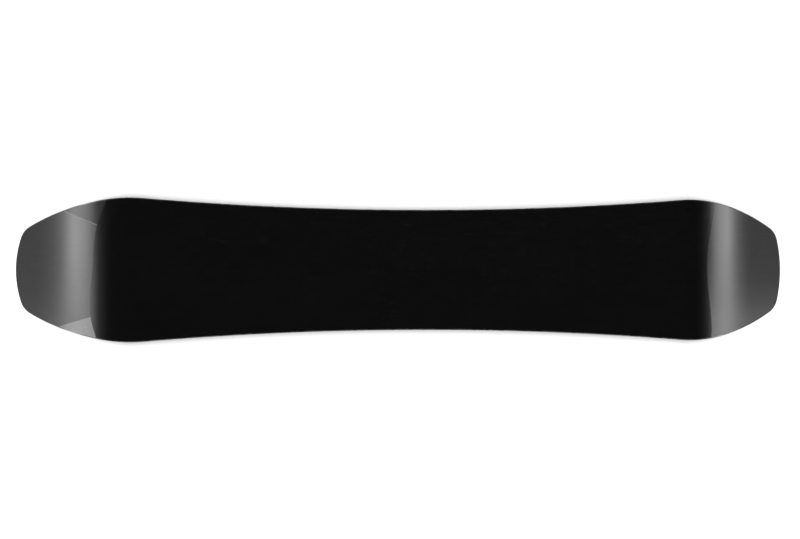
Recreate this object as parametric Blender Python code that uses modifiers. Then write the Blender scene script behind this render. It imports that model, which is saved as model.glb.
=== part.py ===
"""A directional snowboard, built the way a board is laid up: flat layers pressed into a cambered mould.

The nose is at -X, the tail at +X, the base is down and the topsheet up (+Z). The origin is at the middle of
the board's length, on the floor that its two contact lines rest on. Looking from tail to nose, left is -Y.

Every layer is first cut flat in blank coordinates: u runs along the base from the middle of the blank (the nose
is negative), y across it and h up from the running face. It is then pressed: each point (u, y, h) goes to the
mould's curve at u, raised by h along the curve's normal. Units are metres and radians.
"""

import math
from dataclasses import dataclass

import bmesh
import bpy
from mathutils import Matrix, Vector

# Outline of the flat blank. The running length lies between the two contacts, its middle set back from the blank's
# own, and each tip is measured from its contact. A taper is how far inside the contact the widest point lies, and a
# flare how far it lies outside the waist, on each side.
RUNNING_LENGTH = 1.202
RUNNING_SETBACK = 0.011
WAIST_WIDTH = 0.2495
WAIST_SETBACK = 0.060
NOSE_LENGTH = 0.215
NOSE_TAPER = 0.032
NOSE_FLARE = 0.026
TAIL_LENGTH = 0.1935
TAIL_TAPER = 0.004
TAIL_FLARE = 0.0215
NOSE_HIP_RADIUS = 0.335
NOSE_HIP_TURN = math.radians(12.0)
NOSE_FLANK_RADIUS = 0.545
NOSE_CORNER_RADIUS = 0.0435
NOSE_END_RADIUS = 0.194
TAIL_HIP_RADIUS = 0.249
TAIL_HIP_TURN = math.radians(19.0)
TAIL_FLANK_RADIUS = 0.419
TAIL_CORNER_RADIUS = 0.042
TAIL_END_RADIUS = 0.277

# Side profile of the mould
CAMBER_HEIGHT = 0.004
NOSE_KICK_RADIUS = 0.400
NOSE_KICK_ANGLE = math.radians(23.5)
TAIL_KICK_RADIUS = 0.310
TAIL_KICK_ANGLE = math.radians(23.0)

# Thickness of each layer
BASE_THICKNESS = 0.0012
TANG_THICKNESS = 0.0005
FOIL_THICKNESS = 0.0003
GLASS_THICKNESS = 0.0005
MAT_THICKNESS = 0.0003
CORE_THICKNESS = 0.0068
CORE_TIP_THICKNESS = 0.0024
TOPSHEET_THICKNESS = 0.0005

# Clearances: the bond line between neighbours, and the kerf between die-cut or sawn pieces
BOND_GAP = 0.00025
KERF = 0.00025

# Perimeter: steel edge with its tang, the length of its tip pieces along the board, and the sidewall with its slope
EDGE_WIDTH = 0.0020
TANG_WIDTH = 0.0050
NOSE_EDGE_LENGTH = 0.195
TAIL_EDGE_LENGTH = 0.1735
TRIM_INSET = 0.0006
SIDEWALL_WIDTH = 0.0130
SIDEWALL_ANGLE = math.radians(15.0)

# Wood core, and how long the spacer is that fills each tip past its end
NOSE_SPACER_LENGTH = 0.140
TAIL_SPACER_LENGTH = 0.1255
CORE_END_RADIUS = 0.300
STRIP_WIDTH = 0.020
STRIPS_PER_SIDE = 4

# Binding inserts: two packs, each of two rows
STANCE_WIDTH = 0.560
STANCE_SETBACK = 0.030
ROW_SPACING = 0.040
INSERT_PITCH = 0.020
INSERTS_PER_ROW = 6
INSERT_FLANGE_RADIUS = 0.0075
INSERT_FLANGE_THICKNESS = 0.0010
INSERT_BARREL_RADIUS = 0.0043
INSERT_BORE_RADIUS = 0.0025
INSERT_BORE_DEPTH = 0.0060
INSERT_RECESS = 0.0002
INSERT_SIDES = 10
MAT_END_MARGIN = 0.0125
MAT_SIDE_MARGIN = 0.0075
SEAT_MARGIN = 0.010

# Die-cut seams of the base: Bezier control points from the left to the right, as distances from the tip's end.
# They are evenly spaced across the board and run out past its widest point.
NOSE_SEAM = (0.2025, 0.1959, 0.1142, 0.2413, 0.1116, 0.1726, 0.1823)
TAIL_SEAM = (0.1418, 0.1490, 0.1902, 0.1377, 0.1556)
SEAM_RUNOUT = 0.010
# Border of each nose corner panel: where it leaves the edge, as a distance from the tip's end, and how far in from
# the board's widest point it meets the nose seam
LEFT_BORDER_START = 0.1103
LEFT_BORDER_DEPTH = 0.05715
RIGHT_BORDER_START = 0.0975
RIGHT_BORDER_DEPTH = 0.05255

# Grey of each base panel, from nose to tail and left to right
BASE_TONES = {
    "base_nose_corner_left": 0.13,
    "base_nose": 0.16,
    "base_nose_corner_right": 0.36,
    "base_centre": 0.007,
    "base_tail": 0.16,
}

# Fineness of the model
FACET_LENGTH = 0.105
KICK_FACETS = 8
CORNER_STEPS = 5
END_STEPS = 5
SEAM_STEPS = 14
WINDOW_STEPS = 32

# Heights in the flat blank
TANG_LOW = BASE_THICKNESS + BOND_GAP
TANG_HIGH = TANG_LOW + TANG_THICKNESS
FOIL_LOW = TANG_HIGH + BOND_GAP
FOIL_HIGH = FOIL_LOW + FOIL_THICKNESS
GLASS_RIM_LOW = FOIL_HIGH + BOND_GAP
GLASS_RIM_HIGH = GLASS_RIM_LOW + GLASS_THICKNESS
GLASS_PANEL_LOW = BASE_THICKNESS + BOND_GAP
GLASS_PANEL_HIGH = GLASS_PANEL_LOW + GLASS_THICKNESS
WALL_RIM_LOW = GLASS_RIM_HIGH + BOND_GAP
CORE_LOW = GLASS_PANEL_HIGH + BOND_GAP
CORE_HIGH = CORE_LOW + CORE_THICKNESS
MAT_HIGH = CORE_LOW + MAT_THICKNESS
FLANGE_LOW = MAT_HIGH + BOND_GAP
FLANGE_HIGH = FLANGE_LOW + INSERT_FLANGE_THICKNESS
UPPER_GLASS_LOW = CORE_HIGH + BOND_GAP
UPPER_GLASS_HIGH = UPPER_GLASS_LOW + GLASS_THICKNESS
TOPSHEET_LOW = UPPER_GLASS_HIGH + BOND_GAP
TOPSHEET_HIGH = TOPSHEET_LOW + TOPSHEET_THICKNESS

# Insets from the board's outline
BASE_INSET = EDGE_WIDTH + KERF
TANG_INSET = EDGE_WIDTH + TANG_WIDTH
GLASS_STEP_OUTER = TANG_INSET + BOND_GAP
GLASS_STEP_INNER = GLASS_STEP_OUTER + GLASS_THICKNESS
WALL_STEP = GLASS_STEP_INNER + BOND_GAP

# Binding positions along the blank, the mat under each pack of inserts, and the flat seat over it
SEATS = {"front": STANCE_SETBACK - STANCE_WIDTH / 2, "rear": STANCE_SETBACK + STANCE_WIDTH / 2}
MAT_LENGTH = (INSERTS_PER_ROW - 1) * INSERT_PITCH + 2 * (INSERT_FLANGE_RADIUS + MAT_END_MARGIN)
MAT_WIDTH = ROW_SPACING + 2 * (INSERT_FLANGE_RADIUS + MAT_SIDE_MARGIN)
SEAT_LENGTH = MAT_LENGTH + 2 * SEAT_MARGIN

HANDS = {-1: "left", 1: "right"}
OVERSIZE = 0.05  # how far a cutter runs past what it cuts
MERGE = 1e-6
FLAT = math.radians(0.1)  # faces that turn less than this are one face


@dataclass(frozen=True)
class Tip:
    """One end of the board. Its own s axis runs from the middle of the blank towards this tip."""

    side: int
    length: float
    taper: float
    flare: float
    hip_radius: float
    hip_turn: float
    flank_radius: float
    corner_radius: float
    end_radius: float
    kick_radius: float
    kick_angle: float
    spacer_length: float
    edge_length: float

    @property
    def contact(self):
        """Where the running length ends on the s axis."""
        return RUNNING_LENGTH / 2 + self.side * RUNNING_SETBACK

    @property
    def reach(self):
        """The end of the tip on the s axis."""
        return self.contact + self.length

    @property
    def widest(self):
        """Where the widest point of the tip lies on the s axis."""
        return self.contact - self.taper

    @property
    def half_width(self):
        """Half the width at the widest point."""
        return WAIST_WIDTH / 2 + self.flare

    @property
    def core_end(self):
        """Where the wood core ends on the s axis."""
        return self.reach - self.spacer_length

    @property
    def waist(self):
        """Where the narrowest point of the board lies on the s axis."""
        return self.side * WAIST_SETBACK

    @property
    def arcs(self):
        """The outline's five tangent arcs from waist to tip, as (centre, radius, turns outwards)."""
        run = self.widest - self.waist
        rise = self.flare - self.hip_radius
        sidecut = (run ** 2 + rise ** 2 - self.hip_radius ** 2) / (2 * self.flare)
        sidecut_centre = Vector((self.waist, WAIST_WIDTH / 2 + sidecut))
        hip_centre = Vector((self.widest, self.half_width - self.hip_radius))
        out = Vector((math.sin(self.hip_turn), math.cos(self.hip_turn)))
        flank_centre = hip_centre + out * (self.hip_radius - self.flank_radius)
        end_centre = Vector((self.reach - self.end_radius, 0.0))
        corner_centre = self._fillet(flank_centre, end_centre)
        return (
            (sidecut_centre, sidecut, False),
            (hip_centre, self.hip_radius, True),
            (flank_centre, self.flank_radius, True),
            (corner_centre, self.corner_radius, True),
            (end_centre, self.end_radius, True),
        )

    def _fillet(self, flank_centre, end_centre):
        """The centre of the corner arc, which touches the flank arc and the end arc from inside."""
        span = end_centre - flank_centre
        to_flank = self.flank_radius - self.corner_radius
        to_end = self.end_radius - self.corner_radius
        along = (to_flank ** 2 - to_end ** 2 + span.length_squared) / (2 * span.length)
        across = math.sqrt(max(to_flank ** 2 - along ** 2, 0.0))
        unit = span.normalized()
        choices = [flank_centre + unit * along + Vector((-unit.y, unit.x)) * across * way for way in (1, -1)]
        return max(choices, key=lambda centre: centre.x)

    def joints(self, inset):
        """The four points where one arc passes to the next, on the outline moved in by inset."""
        arcs = self.arcs
        points = []
        for (centre, radius, outwards), (after, after_radius, _) in zip(arcs, arcs[1:]):
            way = (after - centre).normalized()
            if outwards and radius < after_radius:
                way = -way
            points.append(centre + way * (radius - inset if outwards else radius + inset))
        return points

    def half_width_at(self, s, inset):
        """Half the width at s, on the outline moved in by inset, from the waist to the end of the flank."""
        joints = self.joints(inset)
        centre, radius, outwards = self.arcs[sum(s > joint.x for joint in joints[:2])]
        own = radius - inset if outwards else radius + inset
        height = math.sqrt(max(own ** 2 - (s - centre.x) ** 2, 0.0))
        return centre.y + height if outwards else centre.y - height

    def inward(self, s, y, inset, reach):
        """The direction into the board at (s, y) where that lies on the outline moved in by inset, or None."""
        joints = self.joints(inset)
        point = Vector((s, abs(y)))
        passed = sum(s > joint.x for joint in joints[:3])
        if passed == 3 and point.y < joints[3].y:
            passed = 4
        centre, radius, outwards = self.arcs[passed]
        offset = point - centre
        own = radius - inset if outwards else radius + inset
        if abs(offset.length - own) > reach:
            return None
        way = offset.normalized() * (-1 if outwards else 1)
        return Vector((self.side * way.x, math.copysign(way.y, way.y * y)))


NOSE = Tip(side=-1, length=NOSE_LENGTH, taper=NOSE_TAPER, flare=NOSE_FLARE,
           hip_radius=NOSE_HIP_RADIUS, hip_turn=NOSE_HIP_TURN, flank_radius=NOSE_FLANK_RADIUS,
           corner_radius=NOSE_CORNER_RADIUS, end_radius=NOSE_END_RADIUS, kick_radius=NOSE_KICK_RADIUS,
           kick_angle=NOSE_KICK_ANGLE, spacer_length=NOSE_SPACER_LENGTH, edge_length=NOSE_EDGE_LENGTH)
TAIL = Tip(side=1, length=TAIL_LENGTH, taper=TAIL_TAPER, flare=TAIL_FLARE,
           hip_radius=TAIL_HIP_RADIUS, hip_turn=TAIL_HIP_TURN, flank_radius=TAIL_FLANK_RADIUS,
           corner_radius=TAIL_CORNER_RADIUS, end_radius=TAIL_END_RADIUS, kick_radius=TAIL_KICK_RADIUS,
           kick_angle=TAIL_KICK_ANGLE, spacer_length=TAIL_SPACER_LENGTH, edge_length=TAIL_EDGE_LENGTH)


class Mould:
    """The mould's faceted side profile: a frame at each station, and straight runs between the stations."""

    def __init__(self):
        self.crown = RUNNING_SETBACK
        half_span = RUNNING_LENGTH / 2
        self.camber_radius = (half_span ** 2 + CAMBER_HEIGHT ** 2) / (2 * CAMBER_HEIGHT)
        self.lean = half_span / self.camber_radius
        self.nose_level = -NOSE.contact - NOSE.kick_radius * self.lean
        self.tail_level = TAIL.contact + TAIL.kick_radius * self.lean
        self.stations = self._stations()
        nose_x = self._curve(-NOSE.reach)[0]
        tail_x = self._curve(TAIL.reach)[0]
        self.middle = (nose_x + tail_x) / 2
        self.floor = min(self._curve(u)[1] for u in self.stations)
        self.frames = [self._frame(u) for u in self.stations]

    def _stations(self):
        """The values of u at which every layer is creased; the board rests on the two level ones."""
        stations = []
        start = self.nose_level
        for seat in SEATS.values():
            stations += self._spaced(start, seat - SEAT_LENGTH / 2)
            start = seat + SEAT_LENGTH / 2
        stations += self._spaced(start, self.tail_level)
        for tip, level in ((NOSE, self.nose_level), (TAIL, self.tail_level)):
            arc = tip.side * tip.kick_radius * tip.kick_angle
            stations += [level + arc * step / KICK_FACETS for step in range(1, KICK_FACETS + 1)]
            stations.append(tip.side * (tip.reach + OVERSIZE))
        return sorted(stations)

    @staticmethod
    def _spaced(low, high):
        """Stations from low to high, both included, no further apart than a facet."""
        count = math.ceil((high - low) / FACET_LENGTH)
        return [low + (high - low) * step / count for step in range(count + 1)]

    def _curve(self, u):
        """The point and slope of the exact mould curve at u, before it is centred and set on the floor."""
        tip = TAIL if u > self.crown else NOSE
        run = abs(u - self.crown)
        camber_run = tip.contact - tip.side * self.crown
        turn = min(run, camber_run) / self.camber_radius
        x = self.camber_radius * math.sin(turn)
        z = -self.camber_radius * (1 - math.cos(turn))
        slope = -turn
        if run > camber_run:
            slope = min((run - camber_run) / tip.kick_radius - turn, tip.kick_angle)
            x += tip.kick_radius * (math.sin(slope) + math.sin(turn))
            z += tip.kick_radius * (math.cos(turn) - math.cos(slope))
        straight = max(run - camber_run - tip.kick_radius * (turn + tip.kick_angle), 0.0)
        x += straight * math.cos(slope)
        z += straight * math.sin(slope)
        return self.crown + tip.side * x, z, tip.side * slope

    def _frame(self, u):
        """The station's point, its normal, and how much thinner the core is there than at the seats."""
        x, z, slope = self._curve(u)
        point = Vector((x - self.middle, z - self.floor))
        return point, Vector((-math.sin(slope), math.cos(slope))), self._core_drop(u)

    def _core_drop(self, u):
        """How much thinner the core is at u than at the seats: nothing between them, full where the kicks start."""
        front = SEATS["front"] - SEAT_LENGTH / 2
        rear = SEATS["rear"] + SEAT_LENGTH / 2
        past_front = (front - u) / (front - self.nose_level)
        past_rear = (u - rear) / (self.tail_level - rear)
        return (CORE_THICKNESS - CORE_TIP_THICKNESS) * min(max(past_front, past_rear, 0.0), 1.0)

    def at(self, u):
        """The point, normal and core drop at u, run straight between the stations on either side."""
        last = len(self.stations) - 2
        low = min(max(sum(u >= station for station in self.stations) - 1, 0), last)
        span = self.stations[low + 1] - self.stations[low]
        share = (u - self.stations[low]) / span
        return [a + (b - a) * share for a, b in zip(self.frames[low], self.frames[low + 1])]

    def place(self, u, y, h):
        """The pressed position of a point of the flat blank."""
        point, normal, _ = self.at(u)
        return Vector((point.x + normal.x * h, y, point.y + normal.y * h))


MOULD = Mould()


def arc_points(centre, radius, start, end, steps):
    """Points along an arc, both ends included; angles are measured from the s axis."""
    turns = [start + (end - start) * step / steps for step in range(steps + 1)]
    return [(centre.x + radius * math.cos(turn), centre.y + radius * math.sin(turn)) for turn in turns]


def tip_path(tip, inset, stop):
    """One side of the outline from the waist to the tip, as (s, half width), ending at half width stop."""
    joints = tip.joints(inset)
    corner, end = tip.arcs[3], tip.arcs[4]
    path = []
    creases = [tip.side * u for u in MOULD.stations]
    creases = sorted(s for s in creases if s > tip.waist)
    creases.insert(0, tip.waist)
    for low, high in zip(creases, creases[1:]):
        pieces = 2 if high - low > FACET_LENGTH / 2 else 1
        path += [low + (high - low) * step / pieces for step in range(pieces)]
    path = [(s, tip.half_width_at(s, inset)) for s in path if s < joints[2].x - KERF]
    angles = [math.atan2(joint.y - corner[0].y, joint.x - corner[0].x) for joint in joints[2:]]
    path += arc_points(corner[0], corner[1] - inset, angles[0], angles[1], CORNER_STEPS)
    last = math.asin(stop / (end[1] - inset))
    return path + arc_points(end[0], end[1] - inset, angles[1], last, END_STEPS)[1:]


def outline(inset):
    """The closed outline of the blank, moved in by inset."""
    tail = [(s, half) for s, half in tip_path(TAIL, inset, 0.0)]
    nose = [(-s, half) for s, half in tip_path(NOSE, inset, 0.0)][1:]
    right = nose[::-1] + tail
    left = [(u, -y) for u, y in right[1:-1]]
    return right + left[::-1]


def half_ring(outer, inner, hand):
    """A C-shaped half of the perimeter between two insets, on the left (-1) or the right (1)."""
    def side(inset):
        nose = [(-s, half) for s, half in tip_path(NOSE, inset, KERF / 2)][1:]
        return nose[::-1] + [(s, half) for s, half in tip_path(TAIL, inset, KERF / 2)]

    return [(u, hand * y) for u, y in side(outer) + side(inner)[::-1]]


def rectangle(u_low, u_high, y_low, y_high):
    """A rectangular loop."""
    return [(u_low, y_low), (u_high, y_low), (u_high, y_high), (u_low, y_high)]


def core_window(grow):
    """The wood core's extent: round ends across the blank, and sides beyond the board's. grow moves the ends out."""
    half_width = max(NOSE.half_width, TAIL.half_width) + OVERSIZE
    half = math.asin(half_width / (CORE_END_RADIUS + grow))
    loop = []
    for tip in (TAIL, NOSE):
        centre = Vector((tip.side * (tip.core_end - CORE_END_RADIUS), 0.0))
        points = arc_points(centre, CORE_END_RADIUS + grow, -half, half, WINDOW_STEPS)
        loop += [(centre.x + tip.side * (u - centre.x), tip.side * y) for u, y in points]
    return loop


def seam_path(tip, distances):
    """Points along a seam: the Bezier curve of control points at these distances from the tip's end."""
    half_width = tip.half_width + SEAM_RUNOUT
    controls = []
    for index, distance in enumerate(distances):
        y = half_width * (2 * index / (len(distances) - 1) - 1)
        controls.append(Vector((tip.side * (tip.reach - distance), y)))
    path = []
    for step in range(SEAM_STEPS + 1):
        level = controls
        while len(level) > 1:
            level = [a.lerp(b, step / SEAM_STEPS) for a, b in zip(level, level[1:])]
        path.append(level[0])
    return path


def crossing(path, y):
    """The point where a path that runs across the board reaches y."""
    low, high = next((a, b) for a, b in zip(path, path[1:]) if a.y <= y < b.y)
    return low.lerp(high, (y - low.y) / (high.y - low.y))


def ribbon(path, width):
    """A closed loop of the given width along an open path."""
    sides = [[], []]
    for index, point in enumerate(path):
        along = path[min(index + 1, len(path) - 1)] - path[max(index - 1, 0)]
        across = Vector((-along.y, along.x)).normalized() * width / 2
        sides[0].append(tuple(point + across))
        sides[1].append(tuple(point - across))
    return sides[0] + sides[1][::-1]


def collection(name):
    """The scene's collection of this name, made on first use."""
    if name not in bpy.data.collections:
        bpy.context.scene.collection.children.link(bpy.data.collections.new(name))
    return bpy.data.collections[name]


def add(name, mesh, group):
    """A new object in one of the collections."""
    item = bpy.data.objects.new(name, mesh)
    collection(group).objects.link(item)
    return item


def baked(item, name):
    """The object's evaluated mesh, on its own and with its caps welded."""
    graph = bpy.context.evaluated_depsgraph_get()
    mesh = bpy.data.meshes.new_from_object(item.evaluated_get(graph))
    mesh.name = name
    mesh.transform(item.matrix_world)
    work = bmesh.new()
    work.from_mesh(mesh)
    bmesh.ops.remove_doubles(work, verts=work.verts, dist=MERGE)
    bmesh.ops.dissolve_limit(work, angle_limit=FLAT, verts=work.verts, edges=work.edges)
    bmesh.ops.recalc_face_normals(work, faces=work.faces)
    work.to_mesh(mesh)
    work.free()
    return mesh


def plate(name, loop, low, high, group="snowboard"):
    """A flat plate with this outline, between two heights of the blank."""
    curve = bpy.data.curves.new(name, "CURVE")
    curve.dimensions = "2D"
    curve.fill_mode = "BOTH"
    curve.extrude = (high - low) / 2
    spline = curve.splines.new("POLY")
    spline.points.add(len(loop) - 1)
    for point, (u, y) in zip(spline.points, loop):
        point.co = (u, y, 0.0, 1.0)
    spline.use_cyclic_u = True
    guide = add(name + "_outline", curve, group)
    guide.location.z = (low + high) / 2
    bpy.context.view_layer.update()
    item = add(name, baked(guide, name), group)
    bpy.data.objects.remove(guide)
    return item


def cutter(name, loop, low, high):
    """A plate that only cuts others."""
    item = plate(name, loop, low, high, "cutters")
    item.display_type = "WIRE"
    item.hide_render = True
    return item


def cut(item, tools, operation="DIFFERENCE"):
    """Cut, join or trim a flat piece with other solids, and keep the result as its mesh."""
    for tool in tools:
        modifier = item.modifiers.new(tool.name, "BOOLEAN")
        modifier.object = tool
        modifier.operation = operation
        modifier.solver = "EXACT"
    bpy.context.view_layer.update()
    mesh = baked(item, item.name)
    item.modifiers.clear()
    item.data = mesh


def split(item, names, key):
    """Part a piece into its loose solids, sorted by key of their middle, and name them in that order."""
    work = bmesh.new()
    work.from_mesh(item.data)
    left = set(work.verts)
    islands = []
    while left:
        front = [left.pop()]
        island = set(front)
        while front:
            vert = front.pop()
            near = {edge.other_vert(vert) for edge in vert.link_edges} - island
            island |= near
            front += near
        left -= island
        islands.append(island)
    group = item.users_collection[0].name

    def middle(island):
        lows = Vector([min(vert.co[axis] for vert in island) for axis in range(3)])
        highs = Vector([max(vert.co[axis] for vert in island) for axis in range(3)])
        return (lows + highs) / 2

    indices = [(key(middle(island)), sorted(vert.index for vert in island)) for island in islands]
    indices.sort()
    pieces = []
    for name, (_, members) in zip(names, indices):
        mesh = item.data.copy()
        part = bmesh.new()
        part.from_mesh(mesh)
        part.verts.ensure_lookup_table()
        keep = set(members)
        bmesh.ops.delete(part, geom=[vert for vert in part.verts if vert.index not in keep], context="VERTS")
        part.to_mesh(mesh)
        part.free()
        pieces.append(add(name, mesh, group))
    work.free()
    bpy.data.objects.remove(item)
    return pieces


def planed(u, y, h):
    """Move a point on the outer wall above the edge inwards, as the planed sidewall slopes."""
    tip = TAIL if u > WAIST_SETBACK else NOSE
    way = tip.inward(tip.side * u, y, TRIM_INSET, TRIM_INSET)
    if way is None:
        return u, y
    shift = (h - WALL_RIM_LOW) * math.tan(SIDEWALL_ANGLE)
    return u + way.x * shift, y + way.y * shift


def press(item):
    """Crease a flat piece at the stations and press it into the mould."""
    work = bmesh.new()
    work.from_mesh(item.data)
    reach = [min(vert.co.x for vert in work.verts), max(vert.co.x for vert in work.verts)]
    for station in MOULD.stations:
        if not reach[0] < station < reach[1]:
            continue
        found = bmesh.ops.bisect_plane(work, geom=work.verts[:] + work.edges[:] + work.faces[:], dist=MERGE,
                                       plane_co=(station, 0.0, 0.0), plane_no=(1.0, 0.0, 0.0))
        for part in found["geom_cut"]:
            if isinstance(part, bmesh.types.BMEdge):
                part.seam = True
    bmesh.ops.dissolve_limit(work, angle_limit=FLAT, verts=work.verts, edges=work.edges, delimit={"SEAM"})
    for vert in work.verts:
        u, y, h = vert.co
        if h > CORE_HIGH - MERGE:
            h -= MOULD.at(u)[2]
        if h > WALL_RIM_LOW + MERGE:
            u, y = planed(u, y, h)
        vert.co = MOULD.place(u, y, h)
    bmesh.ops.recalc_face_normals(work, faces=work.faces)
    for edge in work.edges:
        edge.seam = False
    work.to_mesh(item.data)
    work.free()


def material(name, colour, roughness, metallic=0.0):
    """A plain finish: one colour, roughness and metallic value."""
    finish = bpy.data.materials.get(name) or bpy.data.materials.new(name)
    finish.use_nodes = True
    shader = finish.node_tree.nodes["Principled BSDF"]
    shader.inputs["Base Color"].default_value = (*colour, 1.0)
    shader.inputs["Roughness"].default_value = roughness
    shader.inputs["Metallic"].default_value = metallic
    return finish


def finish(item, name, colour, roughness, metallic=0.0):
    """Give a finished piece its material."""
    item.data.materials.clear()
    item.data.materials.append(material(name, colour, roughness, metallic))


def along_board(middle):
    """A sort key for pieces by the middle of their box: nose, then middle, then tail, and left to right in each."""
    return (middle.x > -NOSE.contact) + (middle.x > TAIL.contact), middle.y


def make_base():
    """The running base: one sheet, die-cut into a dark middle, a nose with two corner panels, and a tail."""
    sheet = plate("base", outline(BASE_INSET), 0.0, BASE_THICKNESS)
    nose_seam = seam_path(NOSE, NOSE_SEAM)
    seams = [ribbon(nose_seam, KERF), ribbon(seam_path(TAIL, TAIL_SEAM), KERF)]
    borders = ((-1, LEFT_BORDER_START, LEFT_BORDER_DEPTH), (1, RIGHT_BORDER_START, RIGHT_BORDER_DEPTH))
    for hand, start, depth in borders:
        s = NOSE.reach - start
        outer = Vector((-s, hand * NOSE.half_width_at(s, BASE_INSET)))
        inner = crossing(nose_seam, hand * (NOSE.half_width - depth))
        seams.append(ribbon([outer + (outer - inner).normalized() * OVERSIZE, inner], KERF))
    tools = [cutter(f"base_seam_{index}", loop, -OVERSIZE, OVERSIZE) for index, loop in enumerate(seams)]
    cut(sheet, tools)
    for panel, tone in zip(split(sheet, BASE_TONES, along_board), BASE_TONES.values()):
        press(panel)
        finish(panel, panel.name, (tone, tone, tone), 0.35)


def make_edges():
    """The steel edge, in a length for each side and each tip, and the damping foil over its tang."""
    edge = plate("edge", outline(0.0), 0.0, TANG_HIGH)
    middle = cutter("edge_inside", outline(EDGE_WIDTH), -OVERSIZE, TANG_LOW)
    tang_middle = cutter("tang_inside", outline(TANG_INSET), -OVERSIZE, OVERSIZE)
    joints = []
    for tip in (NOSE, TAIL):
        u = tip.side * (tip.reach - tip.edge_length)
        loop = rectangle(u - KERF / 2, u + KERF / 2, -tip.half_width - OVERSIZE, tip.half_width + OVERSIZE)
        joints.append(cutter(f"edge_joint_{tip.side}", loop, -OVERSIZE, OVERSIZE))
    cut(edge, [middle, tang_middle] + joints)
    for length in split(edge, ("edge_nose", "edge_left", "edge_right", "edge_tail"), along_board):
        press(length)
        finish(length, "edge_steel", (0.55, 0.55, 0.56), 0.3, 1.0)
    for hand, side in HANDS.items():
        foil = plate(f"damping_foil_{side}", half_ring(TRIM_INSET, TANG_INSET, hand), FOIL_LOW, FOIL_HIGH)
        press(foil)
        finish(foil, "rubber", (0.02, 0.02, 0.02), 0.8)


def make_glass():
    """The lower laminate, which steps down from the tang to the base, and the flat upper one."""
    lower = plate("lower_glass", outline(TRIM_INSET), GLASS_PANEL_LOW, GLASS_RIM_HIGH)
    well = cutter("lower_glass_well", outline(GLASS_STEP_INNER), GLASS_PANEL_HIGH, OVERSIZE)
    rim = cutter("lower_glass_rim", outline(-OVERSIZE), -OVERSIZE, GLASS_RIM_LOW)
    step = cutter("lower_glass_step", outline(GLASS_STEP_OUTER), -2 * OVERSIZE, 2 * OVERSIZE)
    cut(rim, [step])
    cut(lower, [well, rim])
    press(lower)
    finish(lower, "glass_fibre", (0.62, 0.66, 0.55), 0.4)
    upper = plate("upper_glass", outline(TRIM_INSET), UPPER_GLASS_LOW, UPPER_GLASS_HIGH)
    cut(upper, [insert_holes(INSERT_BARREL_RADIUS + BOND_GAP, -OVERSIZE, OVERSIZE, "upper_glass_holes")])
    press(upper)
    finish(upper, "glass_fibre", (0.62, 0.66, 0.55), 0.4)


def insert_places():
    """Name, u and y of each binding insert."""
    for pack, seat in SEATS.items():
        for row, y in (("left", -ROW_SPACING / 2), ("right", ROW_SPACING / 2)):
            for column in range(INSERTS_PER_ROW):
                u = seat + (column - (INSERTS_PER_ROW - 1) / 2) * INSERT_PITCH
                yield f"insert_{pack}_{row}_{column + 1}", u, y


def insert_holes(radius, low, high, name):
    """One cutter with a round hole's solid at each insert, its corners in line with the insert's own."""
    work = bmesh.new()
    turn = Matrix.Rotation(math.pi / 2, 4, "Z")
    for _, u, y in insert_places():
        place = Matrix.Translation((u, y, (low + high) / 2)) @ turn
        bmesh.ops.create_cone(work, cap_ends=True, segments=INSERT_SIDES, radius1=radius, radius2=radius,
                              depth=high - low, matrix=place)
    mesh = bpy.data.meshes.new(name)
    work.to_mesh(mesh)
    work.free()
    item = add(name, mesh, "cutters")
    item.display_type = "WIRE"
    item.hide_render = True
    return item


def make_core():
    """The wood core, glued up from upright strips and thinned towards the tips, with the inserts' pockets."""
    blank = plate("core", outline(SIDEWALL_WIDTH + BOND_GAP), CORE_LOW, CORE_HIGH)
    cut(blank, [cutter("core_window", core_window(0.0), -OVERSIZE, OVERSIZE)], "INTERSECT")
    saw = []
    for line in range(-STRIPS_PER_SIDE, STRIPS_PER_SIDE + 2):
        y = (line - 0.5) * STRIP_WIDTH
        loop = rectangle(-NOSE.reach, TAIL.reach, y - KERF / 2, y + KERF / 2)
        saw.append(cutter(f"strip_kerf_{line}", loop, -OVERSIZE, OVERSIZE))
    mats = []
    for pack, seat in SEATS.items():
        half_length = MAT_LENGTH / 2 + BOND_GAP
        half_width = MAT_WIDTH / 2 + BOND_GAP
        loop = rectangle(seat - half_length, seat + half_length, -half_width, half_width)
        mats.append(cutter(f"mat_rebate_{pack}", loop, -OVERSIZE, FLANGE_LOW))
    barrels = insert_holes(INSERT_BARREL_RADIUS + BOND_GAP, -OVERSIZE, OVERSIZE, "core_barrel_holes")
    flanges = insert_holes(INSERT_FLANGE_RADIUS + BOND_GAP, -OVERSIZE, FLANGE_HIGH + BOND_GAP, "core_pockets")
    cut(blank, saw + mats + [barrels, flanges])
    names = [f"core_strip_{index + 1:02d}" for index in range(2 * STRIPS_PER_SIDE + 3)]
    for index, strip in enumerate(split(blank, names, lambda middle: middle.y)):
        press(strip)
        if index % 2:
            finish(strip, "poplar", (0.68, 0.52, 0.33), 0.6)
        else:
            finish(strip, "beech", (0.52, 0.34, 0.19), 0.55)


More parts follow.
